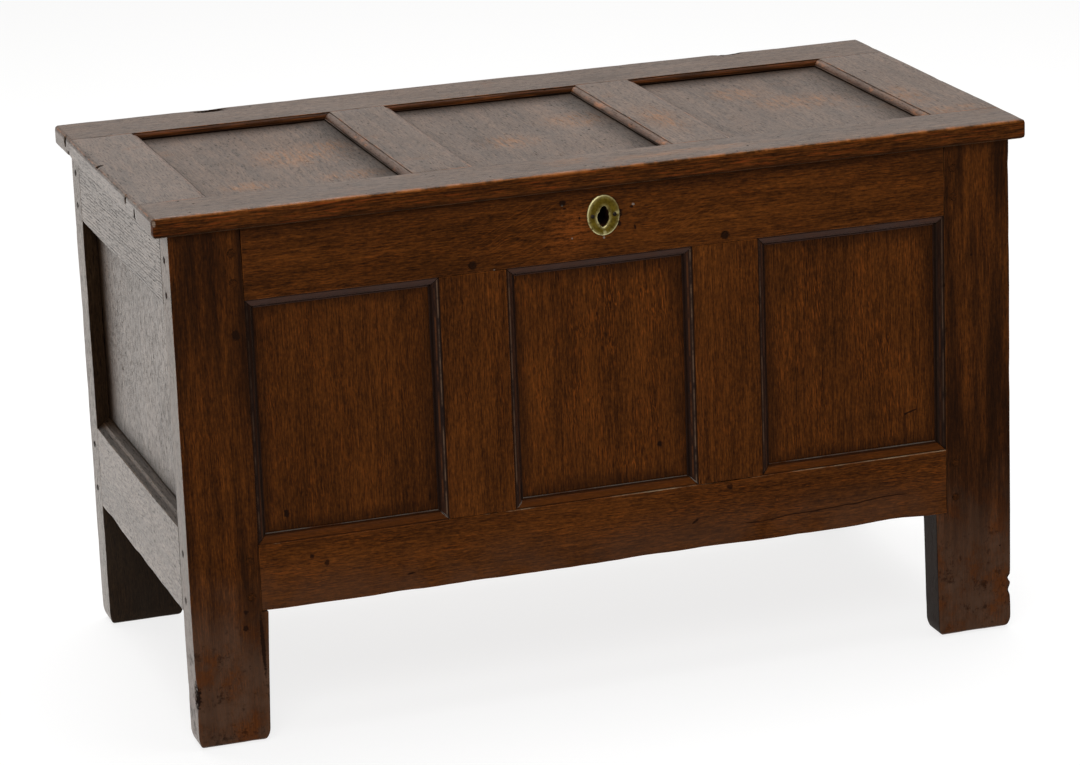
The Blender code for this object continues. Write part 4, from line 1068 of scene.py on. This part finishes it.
# Kind of oak, way of the grain and steps of painting for each wooden piece
PIECES = {
    "front_top_rail": ("front", "X", (
        front_moulding(("z", FLAT_HIGH, -1), PAINTED_FLOOR_SHEEN, 0.85), around_keyhole, spots("xz", TOP_RAIL_MARKS),
        pale_specks(TOP_RAIL_SPECKS), peg_rings([(-0.167, MUNTIN_PEG_Z), (0.159, MUNTIN_PEG_Z)]), under_lid,
        keyhole_dark,
    ) + FRAME_STEPS),
    "front_bottom_rail": ("front", "X", (
        front_moulding(("z", FLAT_LOW, 1), PAINTED_LIT_BROWN, 0.6), more_flecks(0.20), pale_lines, long_crack,
        spots("xz", BOTTOM_RAIL_MARKS, 0.85), pale_specks(MITRE_LINES),
    ) + FRAME_STEPS),
}
for post, middle in MUNTINS.items():
    PIECES[post] = ("front", "Z", (
        front_moulding(("x", middle - MUNTIN_HALF, -1), DARK_WAX_AND_SHADE, 0.85, 0.5),
        front_moulding(("x", middle + MUNTIN_HALF, 1), DARK_WAX_AND_SHADE, 0.75, 0.3),
        peg_rings([(middle, MUNTIN_PEG_Z)]), pale_specks(MITRE_LINES),
    ) + FRAME_STEPS)
for side, way, marks in (("left", 1, LEFT_STILE_MARKS), ("right", -1, RIGHT_STILE_MARKS)):
    wax = front_moulding(("x", -STILE_FLAT_X * way, way), DARK_WAX_AND_SHADE, 0.8, 0.35)
    rings = peg_rings([(-CORNER_PEG_X * way, height) for height in CORNER_PEG_Z])
    PIECES[f"front_{side}_stile"] = ("front", "Z", (
        dry_sides, pitted, dark_streaks, wax, under_lid, rings, side_peg_rings("front"), spots("xz", marks),
    ) + FRAME_STEPS + (hazy_feet, chip_marks))
for side, (left, right) in FRONT_SIGHTS.items():
    border = panel_border("xz", (left, SIGHT_LOW), (right, SIGHT_HIGH), 0.024, 0.50)
    PIECES[f"front_{side}_panel"] = ("front", "Z", (
        more_flecks(FLECK_SHARES[side]), darker(DARK_SHARES[side]), border,
        spots("xz", PANEL_MARKS[side]), inner_faces,
    ))
for side, (left, right) in LID_SIGHTS.items():
    name = f"lid_{side}_panel"
    border = panel_border("xy", (left, LID_SIGHT_Y[0]), (right, LID_SIGHT_Y[1]), 0.054, 0.76)
    PIECES[name] = ("lid", "Y", (border, lid_wear(name, "Y"), lid_underside))
PIECES["lid_front_rail"] = ("lid", "X", lid_steps("lid_front_rail"))
PIECES["lid_back_rail"] = ("lid", "X", lid_steps("lid_back_rail") + (dark_back_moulding, sheen(0.90)))
PIECES["lid_left_end"] = ("lid", "Y", lid_steps("lid_left_end") + (sheen(1.55),))
for post in ("lid_right_end", "lid_left_muntin", "lid_right_muntin"):
    PIECES[post] = ("lid", "Y", lid_steps(post))
for side in ("left", "right"):
    crack = spots("yz", END_RAIL_CRACK, 0.6)
    PIECES[f"{side}_top_rail"] = ("side", "Y", (saw_marks, crack, end_joints) + FRAME_STEPS)
    PIECES[f"{side}_bottom_rail"] = ("side", "Y", (pitted, end_moulding, end_joints) + FRAME_STEPS)
    border = panel_border("yz", *END_SIGHT, 0.046, 0.70)
    PIECES[f"{side}_panel"] = ("side", "Z", (pitted, border, inner_faces, sheen(1.12)))
    PIECES[f"back_{side}_stile"] = ("side", "Z", (
        pitted, side_peg_rings("back"), inner_faces, ground_faces, worn_arrises, grey_dust,
    ))
for rail in ("back_top_rail", "back_bottom_rail"):
    PIECES[rail] = ("back", "X", (worn_arrises,))
for post in ("back_left_muntin", "back_right_muntin"):
    PIECES[post] = ("back", "Z", (worn_arrises,))
for side in ("left", "middle", "right"):
    PIECES[f"back_{side}_panel"] = ("back", "Z", ())
for board in range(1, 5):
    name = f"bottom_board_{board}"
    PIECES[name] = ("back", "Y", (board_joints(name),))


def oak(name, kind, axis, seed, steps):
    skin = Skin(name, kind, axis, seed)
    for step in steps:
        step(skin, skin.shade)
    return skin.finished()


FIRST_PEG_SEED = 70
for seed, (name, (kind, axis, steps)) in enumerate(PIECES.items(), 1):
    worn(name, oak(name, kind, axis, seed, steps))
for seed, name in enumerate(sorted(name for name in NODES if name.endswith("_peg")), FIRST_PEG_SEED):
    end_grain = black_peg if "muntin" in name else peg_end
    NODES[name].data.materials.clear()
    NODES[name].data.materials.append(oak(name, "front", "Y", seed, (end_grain,)))


# Metals


def metal(name, colours, rough, metallic, darkening):
    """Old metal, cloudy and specked, brighter where the mesh marks wear and painted highlights."""
    material, shade = tree_of(name)
    place = shade.node("TexCoord").outputs["Object"]
    cloud = shade.noise(place, 160.0, 4.0, 0.65)
    scratch = shade.long_noise(place, (300, 900, 2400))
    speck = shade.rise(shade.noise(place, 520.0, 3.0, 0.6), 0.56, 0.70)
    bright_wear_share = shade.node("Attribute", attribute_name="wear_and_highlight").outputs["Fac"]
    bright_wear_share = shade.times(bright_wear_share, shade.rise(cloud, 0.30, 0.52))
    colour = shade.mix(shade.rise(cloud, 0.3, 0.7), colours[0], colours[1])
    colour = shade.mix(shade.times(speck, 0.7), colour, darkening)
    colour = shade.mix(bright_wear_share, colour, colours[2])
    roughness = shade.plus(shade.between(cloud, rough[0], rough[1]), shade.times(speck, 0.2))
    height = shade.plus(shade.times(cloud, 0.7), shade.times(scratch, 0.3))
    bump = shade.node("Bump", {"Strength": 0.4, "Distance": 0.0004, "Height": height})
    surface = shade.node("BsdfPrincipled", {
        "Base Color": colour, "Roughness": roughness, "Metallic": shade.between(bright_wear_share, metallic, 0.25),
        "Normal": bump.outputs[0],
    })
    shade.node("OutputMaterial", {0: surface.outputs[0]})
    return material


# The third colour of each metal is laid on wear and painted highlights
BRASS = metal(
    "old brass", colours=(srgb(112, 90, 20), srgb(156, 132, 42), srgb(250, 240, 180)),
    rough=(0.28, 0.46), metallic=0.72, darkening=srgb(46, 34, 14),
)
IRON = metal(
    "old iron", colours=(srgb(52, 46, 42), srgb(84, 74, 66), srgb(140, 134, 128)),
    rough=(0.45, 0.70), metallic=0.85, darkening=srgb(60, 34, 20),
)
IRON_ROUNDING = 0.0003

# Keyhole plate: its middle, half sizes, and the outline of the worn keyhole from there
PLATE_MIDDLE = (KEYHOLE_X, 0.6125)
PLATE_HALF = (0.0210, 0.0255)
PLATE_BACK = FRONT_Y - 0.0003
PLATE_FACE = FRONT_Y - 0.0023
PLATE_SPOKES = 72
KEYHOLE_LINE = (
    (0.0066, 0.000), (0.0052, 0.0070), (0.0034, 0.0104), (0.0004, 0.0114),
    (-0.0022, 0.0096), (-0.0046, 0.0044), (-0.0078, -0.0034), (-0.0068, -0.0076),
    (-0.0042, -0.0118), (-0.0012, -0.0148), (0.0034, -0.0122), (0.0052, -0.0088),
)
# Dents in the plate: place from its middle, radius and depth
PLATE_DENTS = (
    ((0.0008, 0.0222), 0.0020, 0.0007),
    ((0.0010, -0.0222), 0.0030, 0.0009),
    ((0.0172, 0.0016), 0.0034, 0.0006),
)


def keyhole_reach(turn):
    """How far the keyhole goes from the middle of the plate in one direction."""
    corners = sorted((math.atan2(z, x) % math.tau, math.hypot(x, z)) for x, z in KEYHOLE_LINE)
    (first_turn, first), (last_turn, last) = corners[0], corners[-1]
    corners = [(last_turn - math.tau, last)] + corners + [(first_turn + math.tau, first)]
    for (start, near), (end, far) in zip(corners, corners[1:]):
        if start <= turn <= end:
            return near + (far - near) * (turn - start) / (end - start)


def plate_rings(turn):
    """One spoke of the plate: distance from the middle, depth behind the face, and its share of wear and
    painted highlight.
    """
    hole = keyhole_reach(turn)
    rim = 1 / math.hypot(math.cos(turn) / PLATE_HALF[0], math.sin(turn) / PLATE_HALF[1])
    thick = PLATE_BACK - PLATE_FACE
    # Painted highlights, brightest low on the left of the lip and on the upper left and lower right of the
    # rim
    low_left = 0.35 + 0.65 * max(0.0, math.cos(turn - math.radians(215)))
    outer = 0.45 + 0.55 * max(math.cos(turn - math.radians(140)), math.cos(turn - math.radians(280)))
    first, last = hole + 0.0014, rim - 0.0020
    lip = [
        (hole, thick, 0.0), (hole, 0.0012, 0.3 * low_left), (hole + 0.0005, 0.0004, low_left),
        (first, 0.0, 0.5 * low_left),
    ]
    face = [(first + share * (last - first), -0.0001, 0.0) for share in (0.3, 0.7)]
    edge = [
        (last, 0.0, 0.2 * outer), (rim - 0.0008, 0.0004, outer), (rim - 0.0002, 0.0011, 0.6 * outer),
        (rim, 0.0016, 0.0), (rim, thick, 0.0),
    ]
    return lip + face + edge


def make_plate():
    """The worn keyhole plate, with a bevelled lip, a worn rim with painted highlights, and dents."""
    turns = [math.tau * index / PLATE_SPOKES for index in range(PLATE_SPOKES)]
    spokes = [plate_rings(turn) for turn in turns]
    count = len(spokes[0])
    points, shares_of_wear_and_highlight = [], []
    for turn, spoke in zip(turns, spokes):
        for distance, depth, wear_and_highlight in spoke:
            x, z = distance * math.cos(turn), distance * math.sin(turn)
            for (dent_x, dent_z), radius, dent in PLATE_DENTS:
                share = max(0.0, 1 - math.hypot(x - dent_x, z - dent_z) / radius)
                depth += dent * share
                wear_and_highlight = max(wear_and_highlight, share)
            points.append((PLATE_MIDDLE[0] + x, PLATE_FACE + depth, PLATE_MIDDLE[1] + z))
            shares_of_wear_and_highlight.append(max(0.0, wear_and_highlight))
    faces = []
    for index in range(PLATE_SPOKES):
        here, there = index * count, (index + 1) % PLATE_SPOKES * count
        for ring in range(count):
            after = (ring + 1) % count
            faces.append((here + ring, there + ring, there + after, here + after))
    mesh = bpy.data.meshes.new("worn_escutcheon")
    mesh.from_pydata(points, [], faces)
    mesh.attributes.new("wear_and_highlight", "FLOAT", "POINT").data.foreach_set("value", shares_of_wear_and_highlight)
    mesh.materials.append(BRASS)
    mesh.shade_smooth()
    stand_in("escutcheon", mesh)


def soften(obj):
    """Rounded edges on a piece of iron."""
    obj.data.materials.clear()
    obj.data.materials.append(IRON)
    rounding = obj.modifiers.new("soft edges", "BEVEL")
    rounding.width = IRON_ROUNDING
    rounding.segments = 2
    rounding.limit_method = "ANGLE"
    rounding.angle_limit = ARRIS_TURN


# Nails of the hinge leaves: places across the leaf and along it, and the faces they stand on
NAIL_RADIUS = 0.0040
NAIL_RISE = 0.0009
NAIL_TAPER = 0.55
BACK_LEAF_FACE = 0.2697
BACK_LEAF_NAILS = ((-0.011, 0.629), (0.012, 0.616), (-0.012, 0.600), (0.010, 0.588))
LID_LEAF_FACE = 0.6488
LID_LEAF_NAILS = ((-0.012, 0.222), (0.012, 0.212), (-0.008, 0.201))


def nailed_leaf(name):
    """A hinge leaf with the heads of its nails."""
    low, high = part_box(name)
    middle = (low[0] + high[0]) / 2
    if name.endswith("_back_leaf"):
        turn = Matrix.Rotation(-math.pi / 2, 4, "X")
        places = [(middle + across, BACK_LEAF_FACE, along) for across, along in BACK_LEAF_NAILS]
    else:
        turn = Matrix.Rotation(math.pi, 4, "X")
        places = [(middle + across, along, LID_LEAF_FACE) for across, along in LID_LEAF_NAILS]
    bm = bmesh.new()
    bm.from_mesh(NODES[name].data)
    for place in places:
        add_stud(bm, Matrix.Translation(place) @ turn, NAIL_RADIUS, NAIL_TAPER, NAIL_RISE, segments=12)
    soften(stand_in(name, worn_mesh(name, bm)))


make_plate()
for name, node in NODES.items():
    if name.endswith("_leaf"):
        nailed_leaf(name)
    elif name not in PIECES and not name.endswith("_peg") and name != "escutcheon":
        soften(node)


# Floor, light and camera

FLOOR_SIZE = 40.0
FLOOR_GREY = 0.24
FLOOR_GLOW = 0.80
SKY_COLOUR = (1.0, 0.965, 0.925, 1.0)
BACK_SKY = 0.66
LOW_LEFT_SKY = 1.20
FRONT_SKY = (0.12, 0.02)
CAMERA_PLACE = (-1.5814, -4.9209, 1.8574)
CAMERA_YAW = math.radians(17.80)
CAMERA_PITCH = math.radians(-16.48)
CAMERA_ROLL = math.radians(-2.22)
CAMERA_LENS = 138.97
SENSOR_WIDTH = 36.0


def pale_floor():
    """A white studio floor lit through from below, so that shadows on it stay light."""
    material, shade = tree_of("pale floor")
    surface = shade.node("BsdfPrincipled", {
        "Base Color": (FLOOR_GREY, FLOOR_GREY, FLOOR_GREY, 1.0), "Roughness": 0.9, "Specular IOR Level": 0.0,
        "Emission Color": (1.0, 1.0, 1.0, 1.0), "Emission Strength": FLOOR_GLOW,
    })
    shade.node("OutputMaterial", {0: surface.outputs[0]})
    return material


def make_floor():
    half = FLOOR_SIZE / 2
    corners = [(-half, -half, 0), (half, -half, 0), (half, half, 0), (-half, half, 0)]
    mesh = bpy.data.meshes.new("floor")
    mesh.from_pydata(corners, [], [(0, 1, 2, 3)])
    mesh.materials.append(pale_floor())
    floor = linked("floor", mesh)
    floor.visible_glossy = False


def make_light(name, place, target, size, power):
    light = bpy.data.lights.new(name, "AREA")
    light.shape = "RECTANGLE"
    light.size, light.size_y = size
    light.energy = power
    lamp = linked(name, light)
    lamp.location = place
    lamp.rotation_euler = (Vector(target) - Vector(place)).to_track_quat("-Z", "Y").to_euler()


def make_world():
    """A bright wall behind, brighter low on the left, and little light from the front."""
    world = bpy.data.worlds.new("studio")
    bpy.context.scene.world = world
    world.use_nodes = True
    world.node_tree.nodes.clear()
    shade = Shade(world.node_tree)
    x, y, z = shade.parts(shade.node("TexCoord").outputs["Generated"])
    back = shade.rise(y, 0.15, 0.75)
    below = shade.rise(z, 0.10, -0.20)
    leftward = shade.rise(x, 0.05, -0.25)
    behind = shade.times(back, shade.plus(BACK_SKY, shade.all_of(below, leftward, LOW_LEFT_SKY)))
    strength = shade.plus(behind, shade.between(below, *FRONT_SKY))
    sky = shade.node("Background", {"Color": SKY_COLOUR, "Strength": strength})
    shade.node("OutputWorld", {0: sky.outputs[0]})


def make_camera():
    """The camera stands where the photograph was taken from."""
    level = math.cos(CAMERA_PITCH)
    ahead = Vector((math.sin(CAMERA_YAW) * level, math.cos(CAMERA_YAW) * level, math.sin(CAMERA_PITCH)))
    right = Vector((math.cos(CAMERA_YAW), -math.sin(CAMERA_YAW), 0.0))
    up = right.cross(ahead)
    rolled_right = right * math.cos(CAMERA_ROLL) + up * math.sin(CAMERA_ROLL)
    rolled_up = up * math.cos(CAMERA_ROLL) - right * math.sin(CAMERA_ROLL)
    camera = bpy.data.cameras.new("camera")
    camera.sensor_fit = "HORIZONTAL"
    camera.sensor_width = SENSOR_WIDTH
    camera.lens = CAMERA_LENS
    obj = linked("camera", camera)
    turn = Matrix((rolled_right, rolled_up, -ahead)).transposed().to_4x4()
    obj.matrix_world = Matrix.Translation(CAMERA_PLACE) @ turn
    bpy.context.scene.camera = obj


make_floor()
make_world()
make_light("softbox", place=(-1.6, -3.4, 3.6), target=(0.0, 0.0, 0.4), size=(2.6, 2.0), power=95)
make_light("overhead", place=(0.4, 0.8, 4.2), target=(0.0, 0.4, 0.0), size=(4.0, 3.0), power=190)
make_camera()
bpy.context.scene.view_settings.view_transform = "Standard"
